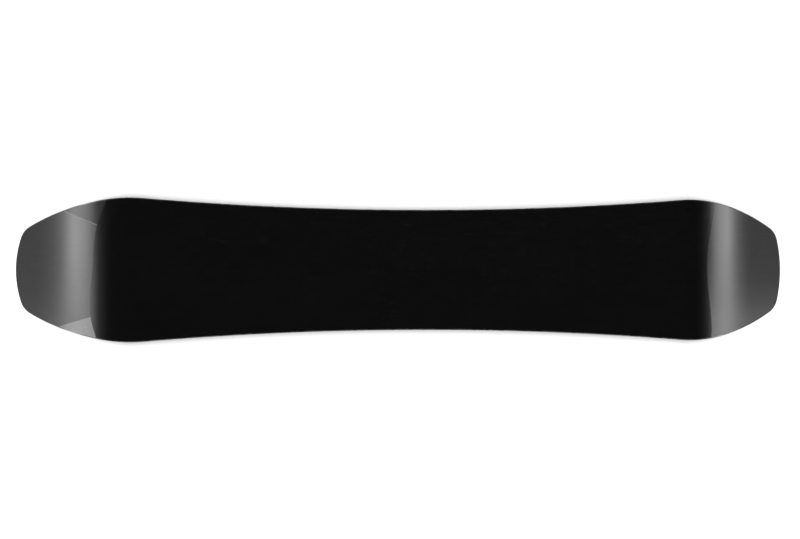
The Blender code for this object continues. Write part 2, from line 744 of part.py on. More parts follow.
def make_perimeter():
    """The sidewalls beside the core, and the plastic spacers that fill the tips past the core's ends."""
    lip = cutter("wall_rebate", outline(-OVERSIZE), -OVERSIZE, WALL_RIM_LOW)
    cut(lip, [cutter("wall_rebate_step", outline(WALL_STEP), -2 * OVERSIZE, 2 * OVERSIZE)])
    window = bpy.data.objects["core_window"]
    for hand, side in HANDS.items():
        wall = plate(f"sidewall_{side}", half_ring(TRIM_INSET, SIDEWALL_WIDTH, hand), CORE_LOW, CORE_HIGH)
        cut(wall, [window], "INTERSECT")
        cut(wall, [lip])
        press(wall)
        finish(wall, "sidewall_abs", (0.02, 0.02, 0.022), 0.45)
    spacers = plate("tip_spacers", outline(TRIM_INSET), CORE_LOW, CORE_HIGH)
    cut(spacers, [lip, cutter("spacer_window", core_window(KERF), -OVERSIZE, OVERSIZE)])
    for spacer in split(spacers, ("tip_spacer_nose", "tip_spacer_tail"), lambda middle: middle.x):
        press(spacer)
        finish(spacer, "spacer_abs", (0.025, 0.025, 0.027), 0.45)


def make_inserts():
    """The steel T-nuts that take the binding screws, and the glass mat under each pack."""
    profile = [
        (0.0, TOPSHEET_HIGH - INSERT_RECESS - INSERT_BORE_DEPTH),
        (INSERT_BORE_RADIUS, TOPSHEET_HIGH - INSERT_RECESS - INSERT_BORE_DEPTH),
        (INSERT_BORE_RADIUS, TOPSHEET_HIGH - INSERT_RECESS),
        (INSERT_BARREL_RADIUS, TOPSHEET_HIGH - INSERT_RECESS),
        (INSERT_BARREL_RADIUS, FLANGE_HIGH),
        (INSERT_FLANGE_RADIUS, FLANGE_HIGH),
        (INSERT_FLANGE_RADIUS, FLANGE_LOW),
        (0.0, FLANGE_LOW),
    ]
    mesh = bpy.data.meshes.new("insert")
    work = bmesh.new()
    verts = [work.verts.new((radius, 0.0, h)) for radius, h in profile]
    for pair in zip(verts, verts[1:]):
        work.edges.new(pair)
    work.to_mesh(mesh)
    work.free()
    for name, u, y in insert_places():
        insert = add(name, mesh, "snowboard")
        screw = insert.modifiers.new("turn", "SCREW")
        screw.steps = INSERT_SIDES
        screw.render_steps = INSERT_SIDES
        screw.use_merge_vertices = True
        screw.merge_threshold = MERGE * 10
        foot, head = MOULD.place(u, y, 0.0), MOULD.place(u, y, TOPSHEET_HIGH)
        lean = math.atan2(head.x - foot.x, head.z - foot.z)
        insert.matrix_world = Matrix.Translation(foot) @ Matrix.Rotation(lean, 4, "Y")
        finish(insert, "insert_steel", (0.6, 0.6, 0.61), 0.25, 1.0)
    for pack, seat in SEATS.items():
        loop = rectangle(seat - MAT_LENGTH / 2, seat + MAT_LENGTH / 2, -MAT_WIDTH / 2, MAT_WIDTH / 2)
        mat = plate(f"insert_mat_{pack}", loop, CORE_LOW, MAT_HIGH)
        press(mat)
        finish(mat, "mat_glass", (0.75, 0.76, 0.7), 0.6)


def make_topsheet():
    """The topsheet, with a hole over each insert."""
    sheet = plate("topsheet", outline(TRIM_INSET), TOPSHEET_LOW, TOPSHEET_HIGH)
    cut(sheet, [insert_holes(INSERT_BARREL_RADIUS + BOND_GAP, -OVERSIZE, OVERSIZE, "topsheet_holes")])
    press(sheet)
    finish(sheet, "topsheet", (0.03, 0.032, 0.036), 0.4)


def main():
    """Clear the scene and build the board from the base up."""
    for item in list(bpy.data.objects):
        bpy.data.objects.remove(item)
    make_base()
    make_edges()
    make_glass()
    make_core()
    make_perimeter()
    make_inserts()
    make_topsheet()


main()
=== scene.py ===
"""Looks of a directional snowboard, seen square on from below: its running base, with the nose at the left.

The fine surface repeats the board's own layout. A layer is drawn flat in blank coordinates: u runs along the
base from the middle of the blank (the nose is negative), y runs across it and h up from the running face.
The layer is then pressed into the cambered mould. Looking from tail to nose, left is -Y. Units are metres
and radians.
"""

import logging
import math
from dataclasses import dataclass, replace
from enum import Enum
from functools import cached_property
from typing import Iterable, Sequence

import bmesh
import bpy
from mathutils import Matrix, Vector
from mathutils.geometry import intersect_line_line_2d, tessellate_polygon


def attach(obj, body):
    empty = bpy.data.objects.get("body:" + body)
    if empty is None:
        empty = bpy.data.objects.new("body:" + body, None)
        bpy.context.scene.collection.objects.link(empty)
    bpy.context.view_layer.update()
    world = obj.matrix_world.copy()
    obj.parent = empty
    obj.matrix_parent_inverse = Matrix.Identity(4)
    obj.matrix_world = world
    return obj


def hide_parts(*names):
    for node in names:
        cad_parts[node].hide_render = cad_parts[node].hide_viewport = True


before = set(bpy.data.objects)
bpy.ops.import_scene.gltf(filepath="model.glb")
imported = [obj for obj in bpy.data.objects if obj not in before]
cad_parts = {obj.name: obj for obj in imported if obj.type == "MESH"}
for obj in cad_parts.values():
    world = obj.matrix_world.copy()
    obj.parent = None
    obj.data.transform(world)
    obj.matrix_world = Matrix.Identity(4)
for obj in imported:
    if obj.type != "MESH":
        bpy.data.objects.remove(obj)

log = logging.getLogger("snowboard")

Point = tuple[float, float]
Span = tuple[float, float]
Colour = tuple[float, float, float, float]
Ring = tuple[list[Point], float]
Socket = bpy.types.NodeSocket
Node = bpy.types.Node
Outputs = bpy.types.NodeOutputs

# How far apart two places may lie and still count as one
SLACK = 1e-7
SHARP_ANGLE = math.radians(30.0)


class Hand(Enum):
    """A side of the board, looking from tail to nose; the value is the sign of y."""

    LEFT = -1
    RIGHT = 1


# The board's layout.


@dataclass(frozen=True)
class Blank:
    """Sizes that the whole blank shares."""

    running_length: float = 1.202
    running_setback: float = 0.011
    waist_width: float = 0.2495
    waist_setback: float = 0.060
    camber_height: float = 0.004
    stance_width: float = 0.560
    stance_setback: float = 0.030
    seat_length: float = 0.160
    core_thickness: float = 0.0068
    core_tip_thickness: float = 0.0024
    core_end_radius: float = 0.300
    window_gap: float = 0.00025
    edge_width: float = 0.0020
    tang_inset: float = 0.0070
    trim_inset: float = 0.0006
    wall_width: float = 0.0130
    wall_lap: float = 0.0002
    wall_angle: float = math.radians(15.0)
    tang_low: float = 0.00145
    tang_high: float = 0.00195
    rim_glass_low: float = 0.00263
    rim_glass_high: float = 0.00337
    wall_rim_low: float = 0.0035
    core_high: float = 0.0090
    topsheet_low: float = 0.00988
    topsheet_high: float = 0.0105

    @property
    def seats(self) -> tuple[float, float]:
        """Where the middle of the front and the rear binding lies along the blank."""
        return self.stance_setback - self.stance_width / 2, self.stance_setback + self.stance_width / 2

    @property
    def window_radius(self) -> float:
        """The radius of the spacers' hollow ends, which the core's round ends fit into."""
        return self.core_end_radius + self.window_gap


BLANK = Blank()


@dataclass(frozen=True)
class Arc:
    """One of the outline's tangent arcs, which bulges out of the board or into it."""

    centre: Vector
    radius: float
    outwards: bool = True

    def own(self, inset: float) -> float:
        """The radius on the outline moved in by inset."""
        return self.radius - inset if self.outwards else self.radius + inset

    def angle(self, point: Vector) -> float:
        """The angle of a point, seen from the centre."""
        return math.atan2(point.y - self.centre.y, point.x - self.centre.x)


@dataclass(frozen=True)
class Sample:
    """A place on the outline, which knows where it lies on any outline moved in from it."""

    side: int
    hand: Hand
    arc: Arc
    turn: float

    @property
    def reach(self) -> float:
        """How far it lies along its tip's axis."""
        return self.arc.centre.x + math.cos(self.turn) * self.arc.radius

    def at(self, inset: float) -> Point:
        """The place on the outline moved in by inset.

        Args:
            inset: how far in.

        Returns:
            The place as (u, y).
        """
        radius = self.arc.own(inset)
        s = self.arc.centre.x + math.cos(self.turn) * radius
        y = self.arc.centre.y + math.sin(self.turn) * radius
        return self.side * s, self.hand.value * y


@dataclass(frozen=True)
class Tip:
    """One end of the board. Its own s axis runs from the middle of the blank towards this tip."""

    side: int
    length: float
    taper: float
    flare: float
    hip_radius: float
    hip_turn: float
    flank_radius: float
    corner_radius: float
    end_radius: float
    kick_radius: float
    kick_angle: float
    spacer_length: float
    edge_length: float

    SPACINGS = (0.012, 0.004, 0.004, 0.0015, 0.003)
    CLOSING_STEPS = 12

    @property
    def contact(self) -> float:
        """Where the running length ends."""
        return BLANK.running_length / 2 + self.side * BLANK.running_setback

    @property
    def reach(self) -> float:
        """The end of the tip."""
        return self.contact + self.length

    @property
    def half_width(self) -> float:
        """Half the width at the widest point."""
        return BLANK.waist_width / 2 + self.flare

    @property
    def edge_joint(self) -> float:
        """Where the tip's own length of steel edge begins."""
        return self.reach - self.edge_length

    @property
    def core_centre(self) -> float:
        """The middle of the circle that the wood core's end follows."""
        return self.reach - self.spacer_length - BLANK.core_end_radius

    @cached_property
    def wall_end(self) -> float:
        """Where the sidewall gives way to the tip spacer.

        Returns:
            The place along the tip's axis, just past the core's round end on the trimmed rim.
        """
        s = self.contact
        for _ in range(self.CLOSING_STEPS):
            s = self.core_centre + math.sqrt(BLANK.window_radius ** 2 - self.rim(s, BLANK.trim_inset) ** 2)
        return s + BLANK.wall_lap

    @cached_property
    def arcs(self) -> tuple[Arc, ...]:
        """The outline's tangent arcs.

        Returns:
            Five arcs from waist to tip: sidecut, hip, flank, corner and end.
        """
        waist = self.side * BLANK.waist_setback
        widest = self.contact - self.taper
        run = widest - waist
        rise = self.flare - self.hip_radius
        sidecut = (run ** 2 + rise ** 2 - self.hip_radius ** 2) / (2 * self.flare)
        hip_centre = Vector((widest, self.half_width - self.hip_radius))
        out = Vector((math.sin(self.hip_turn), math.cos(self.hip_turn)))
        flank = Arc(hip_centre + out * (self.hip_radius - self.flank_radius), self.flank_radius)
        end = Arc(Vector((self.reach - self.end_radius, 0.0)), self.end_radius)
        return (
            Arc(Vector((waist, BLANK.waist_width / 2 + sidecut)), sidecut, False),
            Arc(hip_centre, self.hip_radius),
            flank,
            Arc(self._fillet(flank, end), self.corner_radius),
            end,
        )

    def _fillet(self, flank: Arc, end: Arc) -> Vector:
        """The centre of the corner arc.

        Args:
            flank: the arc that it leaves.
            end: the arc that it meets.

        Returns:
            The centre from which the corner touches both from inside.
        """
        span = end.centre - flank.centre
        to_flank = flank.radius - self.corner_radius
        to_end = end.radius - self.corner_radius
        along = (to_flank ** 2 - to_end ** 2 + span.length_squared) / (2 * span.length)
        across = math.sqrt(max(to_flank ** 2 - along ** 2, 0.0))
        unit = span.normalized()
        normal = Vector((-unit.y, unit.x))
        sides = [flank.centre + unit * along + normal * across * way for way in (1, -1)]
        return max(sides, key=lambda centre: centre.x)

    @cached_property
    def joints(self) -> list[Vector]:
        """The points where one arc passes to the next.

        Returns:
            Four points on the outline.
        """
        points = []
        for arc, after in zip(self.arcs, self.arcs[1:]):
            way = (after.centre - arc.centre).normalized()
            if arc.outwards and arc.radius < after.radius:
                way = -way
            points.append(arc.centre + way * arc.radius)
        return points

    def quarter(self, hand: Hand) -> list[Sample]:
        """One side of the outline from the waist to the end of the tip.

        Args:
            hand: the side of the board.

        Returns:
            Samples close enough for a smooth curve, with one at each end of the sidewall and the edge.
        """
        waist = Vector((self.side * BLANK.waist_setback, BLANK.waist_width / 2))
        stops = [waist, *self.joints, Vector((self.reach, 0.0))]
        samples = []
        for arc, start, stop, spacing in zip(self.arcs, stops, stops[1:], self.SPACINGS):
            begin, end = arc.angle(start), arc.angle(stop)
            count = max(1, math.ceil(abs(end - begin) * arc.radius / spacing))
            turns = [begin + (end - begin) * step / count for step in range(count)]
            for mark in (self.edge_joint, self.wall_end):
                if arc.outwards and start.x < mark < stop.x and arc.centre.x + arc.radius > mark:
                    turns.append(math.acos((mark - arc.centre.x) / arc.radius))
            turns.sort(reverse=arc.outwards)
            samples += [Sample(self.side, hand, arc, turn) for turn in turns]
        return samples + [Sample(self.side, hand, self.arcs[-1], 0.0)]

    def arc_at(self, s: float, y: float) -> Arc:
        """The arc that the outline follows beside a point.

        Args:
            s: the point's place along the tip's axis.
            y: its place across the board.

        Returns:
            The arc.
        """
        passed = sum(s > joint.x for joint in self.joints[:3])
        if passed == 3 and abs(y) < self.joints[3].y:
            passed = 4
        return self.arcs[passed]

    def rim(self, s: float, inset: float) -> float:
        """Half the board's width at a place before the corner.

        Args:
            s: the place along the tip's axis.
            inset: how far in from the outline.

        Returns:
            The width from the axis to the outline moved in by inset.
        """
        arc = self.arc_at(s, self.half_width)
        rise = math.sqrt(arc.own(inset) ** 2 - (s - arc.centre.x) ** 2)
        return arc.centre.y + (rise if arc.outwards else -rise)

    def inward(self, s: float, y: float) -> tuple[Vector, float]:
        """The way into the board from a point near the outline.

        Args:
            s: the point's place along the tip's axis.
            y: its place across the board.

        Returns:
            The direction in blank coordinates, and how far in from the outline the point lies.
        """
        arc = self.arc_at(s, y)
        offset = Vector((s, abs(y))) - arc.centre
        sign = 1 if arc.outwards else -1
        way = offset.normalized() * -sign
        inset = sign * (arc.radius - offset.length)
        return Vector((self.side * way.x, math.copysign(way.y, way.y * y))), inset


NOSE = Tip(side=-1, length=0.215, taper=0.032, flare=0.026, hip_radius=0.335, hip_turn=math.radians(12.0),
           flank_radius=0.545, corner_radius=0.0435, end_radius=0.194, kick_radius=0.400,
           kick_angle=math.radians(23.5), spacer_length=0.140, edge_length=0.195)
TAIL = Tip(side=1, length=0.1935, taper=0.004, flare=0.0215, hip_radius=0.249, hip_turn=math.radians(19.0),
           flank_radius=0.419, corner_radius=0.042, end_radius=0.277, kick_radius=0.310,
           kick_angle=math.radians(23.0), spacer_length=0.1255, edge_length=0.1735)


class Mould:
    """The smooth side profile that every layer is pressed to."""

    KICK_STEP = 0.004
    FLAT_STEP = 0.030

    def __init__(self) -> None:
        """Work out the camber, the level stations and the place of the origin."""
        half_span = BLANK.running_length / 2
        self.crown = BLANK.running_setback
        self.camber_radius = (half_span ** 2 + BLANK.camber_height ** 2) / (2 * BLANK.camber_height)
        lean = half_span / self.camber_radius
        self.levels = (-NOSE.contact - NOSE.kick_radius * lean, TAIL.contact + TAIL.kick_radius * lean)
        self.middle = (self.curve(-NOSE.reach)[0] + self.curve(TAIL.reach)[0]) / 2
        self.floor = min(self.curve(level)[1] for level in self.levels)

    def curve(self, u: float) -> tuple[float, float, float]:
        """The mould's course, before it is centred and set on the floor.

        Args:
            u: the place along the blank.

        Returns:
            x, z and slope there.
        """
        tip = TAIL if u > self.crown else NOSE
        run = abs(u - self.crown)
        camber_run = tip.contact - tip.side * self.crown
        turn = min(run, camber_run) / self.camber_radius
        x = self.camber_radius * math.sin(turn)
        z = -self.camber_radius * (1 - math.cos(turn))
        slope = -turn
        if run > camber_run:
            slope = min((run - camber_run) / tip.kick_radius - turn, tip.kick_angle)
            x += tip.kick_radius * (math.sin(slope) + math.sin(turn))
            z += tip.kick_radius * (math.cos(turn) - math.cos(slope))
        straight = max(run - camber_run - tip.kick_radius * (turn + tip.kick_angle), 0.0)
        return (self.crown + tip.side * (x + straight * math.cos(slope)), z + straight * math.sin(slope),
                tip.side * slope)

    def drop(self, u: float) -> float:
        """How much the core has thinned.

        Args:
            u: the place along the blank.

        Returns:
            How much thinner it is there than between the binding seats.
        """
        front = BLANK.seats[0] - BLANK.seat_length / 2
        rear = BLANK.seats[1] + BLANK.seat_length / 2
        past_front = (front - u) / (front - self.levels[0])
        past_rear = (u - rear) / (self.levels[1] - rear)
        return (BLANK.core_thickness - BLANK.core_tip_thickness) * min(max(past_front, past_rear, 0.0), 1.0)

    def place(self, u: float, y: float, h: float) -> Vector:
        """The pressed position of a point of the flat blank."""
        x, z, slope = self.curve(u)
        return Vector((x - self.middle - math.sin(slope) * h, y, z - self.floor + math.cos(slope) * h))

    def press(self, point: Vector) -> Vector:
        """Press a point of a layer, with the thinner core at the tips and the planed slope of the sidewall.

        Args:
            point: (u, y, h) in the flat blank.

        Returns:
            The position in the model's frame.
        """
        u, y, h = point
        if h > BLANK.core_high - SLACK:
            h -= self.drop(u)
        if h > BLANK.wall_rim_low + SLACK:
            tip = TAIL if u > BLANK.waist_setback else NOSE
            way, inset = tip.inward(tip.side * u, y)
            depth = (inset - BLANK.trim_inset) / (BLANK.wall_width - BLANK.trim_inset)
            shift = (h - BLANK.wall_rim_low) * math.tan(BLANK.wall_angle) * min(max(1.0 - depth, 0.0), 1.0)
            u, y = u + way.x * shift, y + way.y * shift
        return self.place(u, y, h)

    def stations(self) -> list[float]:
        """Where a layer is creased.

        Returns:
            The values of u in order, close together in the kicks.
        """
        marks = []
        for tip, level in zip((NOSE, TAIL), self.levels):
            arc = tip.kick_radius * tip.kick_angle
            count = math.ceil(arc / self.KICK_STEP)
            marks += [level + tip.side * arc * step / count for step in range(count + 1)]
        low, high = self.levels
        count = math.ceil((high - low) / self.FLAT_STEP)
        return sorted(marks + [low + (high - low) * step / count for step in range(1, count)])


MOULD = Mould()


class Outline:
    """The board's outline as closed or open runs of samples."""

    @staticmethod
    def loop() -> list[Sample]:
        """The whole outline.

        Returns:
            A closed run of samples.
        """
        tail = TAIL.quarter(Hand.RIGHT)[1:] + TAIL.quarter(Hand.LEFT)[-2::-1]
        nose = NOSE.quarter(Hand.LEFT)[1:] + NOSE.quarter(Hand.RIGHT)[-2::-1]
        return tail + nose

    @staticmethod
    def side(hand: Hand) -> list[Sample]:
        """One side of the board, from the end of the nose to the end of the tail."""
        return NOSE.quarter(hand)[::-1] + TAIL.quarter(hand)[1:]

    @staticmethod
    def between(hand: Hand, nose_end: float, tail_end: float) -> list[Sample]:
        """Part of one side of the board.

        Args:
            hand: the side.
            nose_end: where it starts on the nose's axis.
            tail_end: where it ends on the tail's axis.

        Returns:
            An open run of samples.
        """
        nose = [sample for sample in NOSE.quarter(hand) if sample.reach <= nose_end + SLACK]
        tail = [sample for sample in TAIL.quarter(hand) if sample.reach <= tail_end + SLACK]
        return nose[::-1] + tail[1:]

    @staticmethod
    def around(tip: Tip, start: float) -> list[Sample]:
        """The outline round a tip.

        Args:
            tip: the end of the board.
            start: where it starts and ends on the tip's axis.

        Returns:
            An open run of samples from right to left.
        """
        right = [sample for sample in tip.quarter(Hand.RIGHT) if sample.reach >= start - SLACK]
        left = [sample for sample in tip.quarter(Hand.LEFT) if sample.reach >= start - SLACK]
        return right + left[-2::-1]


def inset_loop(samples: Sequence[Sample], inset: float) -> list[Point]:
    """The points of a run of samples, moved in by inset."""
    return [sample.at(inset) for sample in samples]


# Mesh builders.


def add_object(name: str, data: bpy.types.ID) -> bpy.types.Object:
    """Add an object to the scene's own collection.

    Args:
        name: its name.
        data: its mesh, lamp or camera.

    Returns:
        The object.
    """
    item = bpy.data.objects.new(name, data)
    bpy.context.scene.collection.objects.link(item)
    return item


def to_mesh(name: str, work: bmesh.types.BMesh) -> bpy.types.Mesh:
    """Make a smooth mesh of a finished body, sharp only at its corners.

    Args:
        name: the mesh's name.
        work: the body, which is freed.

    Returns:
        The mesh.
    """
    bmesh.ops.recalc_face_normals(work, faces=work.faces)
    mesh = bpy.data.meshes.new(name)
    work.to_mesh(mesh)
    work.free()
    mesh.shade_smooth()
    mesh.set_sharp_from_angle(angle=SHARP_ANGLE)
    return mesh


def to_object(name: str, work: bmesh.types.BMesh) -> bpy.types.Object:
    """A new piece made of a finished body, which is freed."""
    return add_object(name, to_mesh(name, work))


def stack(work: bmesh.types.BMesh, rings: Sequence[Ring], holes: Iterable[Sequence[Ring]] = ()) -> None:
    """Add a flat body of stacked rings to a mesh.

    Args:
        work: the mesh to add to.
        rings: the outer wall's loops with their heights, lowest first, all with as many points.
        holes: the same for each hole through the body.
    """
    walls = []
    for tower in (rings, *holes):
        walls.append([[work.verts.new((u, y, h)) for u, y in loop] for loop, h in tower])
        for low, high in zip(walls[-1], walls[-1][1:]):
            for index, vert in enumerate(low):
                after = (index + 1) % len(low)
                work.faces.new((vert, low[after], high[after], high[index]))
    for end in (0, -1):
        loops = [wall[end] for wall in walls]
        flat = [vert for loop in loops for vert in loop]
        for triangle in tessellate_polygon([[vert.co for vert in loop] for loop in loops]):
            if len(set(triangle)) == 3:
                work.faces.new([flat[index] for index in triangle])


def crease(work: bmesh.types.BMesh, faces: list[bmesh.types.BMFace], stations: list[float]) -> None:
    """Cut faces at each station, the middle one first, so that each cut meets few of them.

    Args:
        work: the mesh.
        faces: the faces to cut.
        stations: the values of u, in order.
    """
    if not stations or not faces:
        return
    middle = len(stations) // 2
    edges = {edge for face in faces for edge in face.edges}
    verts = {vert for face in faces for vert in face.verts}
    found = bmesh.ops.bisect_plane(work, geom=[*verts, *edges, *faces], dist=SLACK,
                                   plane_co=(stations[middle], 0.0, 0.0), plane_no=(1.0, 0.0, 0.0))
    halves: tuple[list, list] = ([], [])
    for part in found["geom"]:
        if isinstance(part, bmesh.types.BMFace):
            halves[part.calc_center_median().x > stations[middle]].append(part)
    crease(work, halves[0], stations[:middle])
    crease(work, halves[1], stations[middle + 1:])


def press_flat(work: bmesh.types.BMesh) -> list[float]:
    """Crease a flat body at the mould's stations and press it.

    Args:
        work: the mesh of the flat body.

    Returns:
        The mould's slope at each vertex.
    """
    crease(work, work.faces[:], MOULD.stations())
    slopes = [MOULD.curve(vert.co.x)[2] for vert in work.verts]
    for vert in work.verts:
        vert.co = MOULD.press(vert.co)
    return slopes


def follow_mould(item: bpy.types.Object, slopes: Sequence[float], lying: float = 0.5) -> None:
    """Give the faces that lie along the mould its own normals, whatever the shape of their triangles.

    Args:
        item: the pressed body.
        slopes: the mould's slope at each of its vertices.
        lying: how far up or down the normal of such a face points at least.
    """
    mesh = item.data
    normals = [(0.0, 0.0, 0.0)] * len(mesh.loops)
    for face in mesh.polygons:
        if abs(face.normal.z) > lying:
            way = math.copysign(1.0, face.normal.z)
            for loop, vert in zip(face.loop_indices, face.vertices):
                normals[loop] = (-math.sin(slopes[vert]) * way, 0.0, math.cos(slopes[vert]) * way)
    mesh.normals_split_custom_set(normals)


def sweep(work: bmesh.types.BMesh, samples: Sequence[Sample], profile: Sequence[Point]) -> None:
    """Add a pressed strip of constant section along the outline to a mesh.

    Args:
        work: the mesh to add to.
        samples: the open run of the outline that it follows.
        profile: the section's corners as (inset, height), in order round it.
    """
    rows = []
    for sample in samples:
        corners = [(*sample.at(inset), h) for inset, h in profile]
        rows.append([work.verts.new(MOULD.press(Vector(corner))) for corner in corners])
    for row, after in zip(rows, rows[1:]):
        for index, vert in enumerate(row):
            beside = (index + 1) % len(row)
            work.faces.new((vert, row[beside], after[beside], after[index]))
    work.faces.new(rows[0])
    work.faces.new(rows[-1][::-1])


def split_loop(loop: list[Point], path: list[Point]) -> tuple[list[Point], list[Point]]:
    """Cut a closed loop in two along an open path that crosses it.

    Args:
        loop: the closed loop.
        path: the path, whose first and last crossings of the loop are used.

    Returns:
        The two closed loops, which share the path between the crossings.
    """
    hits = []
    for step, (start, stop) in enumerate(zip(path, path[1:])):
        for index, corner in enumerate(loop):
            found = intersect_line_line_2d(corner, loop[(index + 1) % len(loop)], start, stop)
            if found is not None:
                hits.append((step, (found - Vector(start)).length, index, (found.x, found.y)))
    hits.sort()
    (first, _, first_index, first_point), (last, _, last_index, last_point) = hits[0], hits[-1]
    shared = [first_point, *path[first + 1:last + 1], last_point]

    def walk(start: int, stop: int) -> list[Point]:
        """The loop's points after start, up to stop."""
        count = (stop - start) % len(loop)
        return [loop[(start + step) % len(loop)] for step in range(1, count + 1)]

    return shared + walk(last_index, first_index), shared[::-1] + walk(first_index, last_index)


# Shader tools.


class Graph:
    """A node tree with short calls to add nodes and join them."""

    def __init__(self, tree: bpy.types.NodeTree) -> None:
        """Work on this tree."""
        self.tree = tree

    def add(self, kind: str, inputs: dict | None = None, **settings: object) -> Node:
        """Add a node.

        Args:
            kind: its type name without the Shader Node prefix.
            inputs: a value or an output socket for each named or numbered input.
            settings: the node's own properties.

        Returns:
            The node.
        """
        node = self.tree.nodes.new(kind if kind.startswith("NodeGroup") else f"ShaderNode{kind}")
        for key, value in settings.items():
            setattr(node, key, value)
        for key, value in (inputs or {}).items():
            if isinstance(value, bpy.types.NodeSocket):
                self.tree.links.new(value, node.inputs[key])
            else:
                node.inputs[key].default_value = value
        return node

    def math(self, operation: str, *values: float | Socket) -> Socket:
        """The result of a Math node."""
        return self.add("Math", dict(enumerate(values)), operation=operation).outputs[0]

    def times(self, first: float | Socket, second: float | Socket) -> Socket:
        """The product of two values."""
        return self.math("MULTIPLY", first, second)

    def plus(self, first: float | Socket, second: float | Socket) -> Socket:
        """The sum of two values."""
        return self.math("ADD", first, second)

    def place(self) -> Socket:
        """The object coordinates."""
        return self.add("TexCoord").outputs["Object"]

    def axis(self, name: str) -> Socket:
        """One of the object coordinates."""
        return self.add("SeparateXYZ", {0: self.place()}).outputs[name]

    def ranged(self, value: Socket, low: float, high: float, to_low: float = 0.0,
               to_high: float = 1.0) -> Socket:
        """A value mapped from one range to another and clamped."""
        inputs = {"Value": value, "From Min": low, "From Max": high, "To Min": to_low, "To Max": to_high}
        return self.add("MapRange", inputs).outputs[0]

    def noise(self, vector: Socket, scale: float | Socket, detail: float = 2.0,
              rough: float = 0.5) -> Socket:
        """The value of a noise texture."""
        inputs = {"Vector": vector, "Scale": scale, "Detail": detail, "Roughness": rough}
        return self.add("TexNoise", inputs).outputs[0]

    def stretched(self, stretch: tuple[float, float, float], turn: float = 0.0) -> Socket:
        """Object coordinates, turned about Z and then scaled along each axis.

        Args:
            stretch: the scale along X, Y and Z.
            turn: the angle.

        Returns:
            The coordinates.
        """
        inputs = {"Vector": self.place(), "Angle": turn}
        spun = self.add("VectorRotate", inputs, rotation_type="Z_AXIS").outputs[0]
        return self.add("VectorMath", {0: spun, 1: stretch}, operation="MULTIPLY").outputs[0]

    def mix(self, factor: float | Socket, first: Colour | Socket, second: Colour | Socket) -> Socket:
        """Two colours mixed.

        Args:
            factor: the share of the second.
            first: one colour.
            second: the other colour.

        Returns:
            The mixed colour.
        """
        node = self.add("Mix", data_type="RGBA")
        for key, value in (("Factor_Float", factor), ("A_Color", first), ("B_Color", second)):
            target = next(socket for socket in node.inputs if socket.identifier == key)
            if isinstance(value, bpy.types.NodeSocket):
                self.tree.links.new(value, target)
            else:
                target.default_value = value
        return next(socket for socket in node.outputs if socket.identifier == "Result_Color")

    def coat(self, colour: Socket, mask: Socket, share: float, over: Colour) -> Socket:
        """A colour with a share of another laid over it, where a mask says."""
        return self.mix(self.times(mask, share), colour, over)

    def lift(self, value: Socket, mask: Socket, amount: float) -> Socket:
        """A value raised by an amount, where a mask says."""
        return self.math("MULTIPLY_ADD", mask, amount, value)


def grey(tone: float) -> Colour:
    """A neutral colour."""
    return tone, tone, tone, 1.0


class Effect:
    """A shader node group that several finishes share; a subclass fills it in."""

    NAME = ""
    INPUTS: dict[str, float] = {}
    OUTPUTS: tuple[str, ...] = ()

    @classmethod
    def group(cls) -> bpy.types.NodeTree:
        """The effect's node group, built on first use.

        Returns:
            The group.
        """
        found = bpy.data.node_groups.get(cls.NAME)
        if found is not None:
            return found
        tree = bpy.data.node_groups.new(cls.NAME, "ShaderNodeTree")
        for name, value in cls.INPUTS.items():
            socket = tree.interface.new_socket(name, in_out="INPUT", socket_type="NodeSocketFloat")
            socket.default_value = value
        for name in cls.OUTPUTS:
            tree.interface.new_socket(name, in_out="OUTPUT", socket_type="NodeSocketFloat")
        graph = Graph(tree)
        source = graph.add("NodeGroupInput").outputs
        sink = graph.add("NodeGroupOutput")
        results = cls.fill(graph, source)
        for name in cls.OUTPUTS:
            tree.links.new(results[name], sink.inputs[name])
        return tree

    @classmethod
    def fill(cls, graph: Graph, source: Outputs) -> dict[str, Socket]:
        """Build the effect inside its group.

        Args:
            graph: the group's graph.
            source: its inputs by name.

        Returns:
            The socket to put out under each name.
        """
        raise NotImplementedError

    @classmethod
    def use(cls, graph: Graph, **values: float) -> Outputs:
        """Place the effect in a material.

        Args:
            graph: the material's graph.
            values: the material's own values for the group's inputs.

        Returns:
            The group's outputs by name.
        """
        node = graph.add("Group", node_tree=cls.group())
        for name, value in values.items():
            node.inputs[name.title()].default_value = value
        return node.outputs


class Streaks(Effect):
    """Fine lines along the board, as a belt or stone leaves them, over faint patches of uneven wax."""

    NAME = "streaks"
    INPUTS = {"Fineness": 1.0, "Cross": 0.15}
    OUTPUTS = ("Height", "Patch", "Lines", "Dashes")

    @classmethod
    def fill(cls, graph: Graph, source: Outputs) -> dict[str, Socket]:
        """Lines along X in two turns, over slow patches, with a few short broad dashes.

        Args:
            graph: the group's graph.
            source: its inputs by name.

        Returns:
            The socket to put out under each name.
        """
        fine = source["Fineness"]
        along = graph.stretched((9.0, 900.0, 9.0))
        crossed = graph.stretched((14.0, 700.0, 14.0), math.radians(7.0))
        lines = graph.noise(along, fine, 3.0)
        cross = graph.noise(crossed, fine)
        height = graph.math("MULTIPLY_ADD", cross, source["Cross"], lines)
        broad = graph.noise(graph.stretched((16.0, 110.0, 16.0)), 1.0, 3.0)
        slow = graph.noise(graph.stretched((5.0, 9.0, 5.0)), 1.0, 2.0)
        patch = graph.plus(graph.times(broad, 0.55), graph.times(slow, 0.45))
        dashes = graph.noise(graph.stretched((48.0, 330.0, 48.0)), 1.0, 1.0)
        return {"Height": height, "Patch": graph.ranged(patch, 0.35, 0.65),
                "Lines": graph.ranged(lines, 0.35, 0.65),
                "Dashes": graph.ranged(dashes, 0.56, 0.70)}


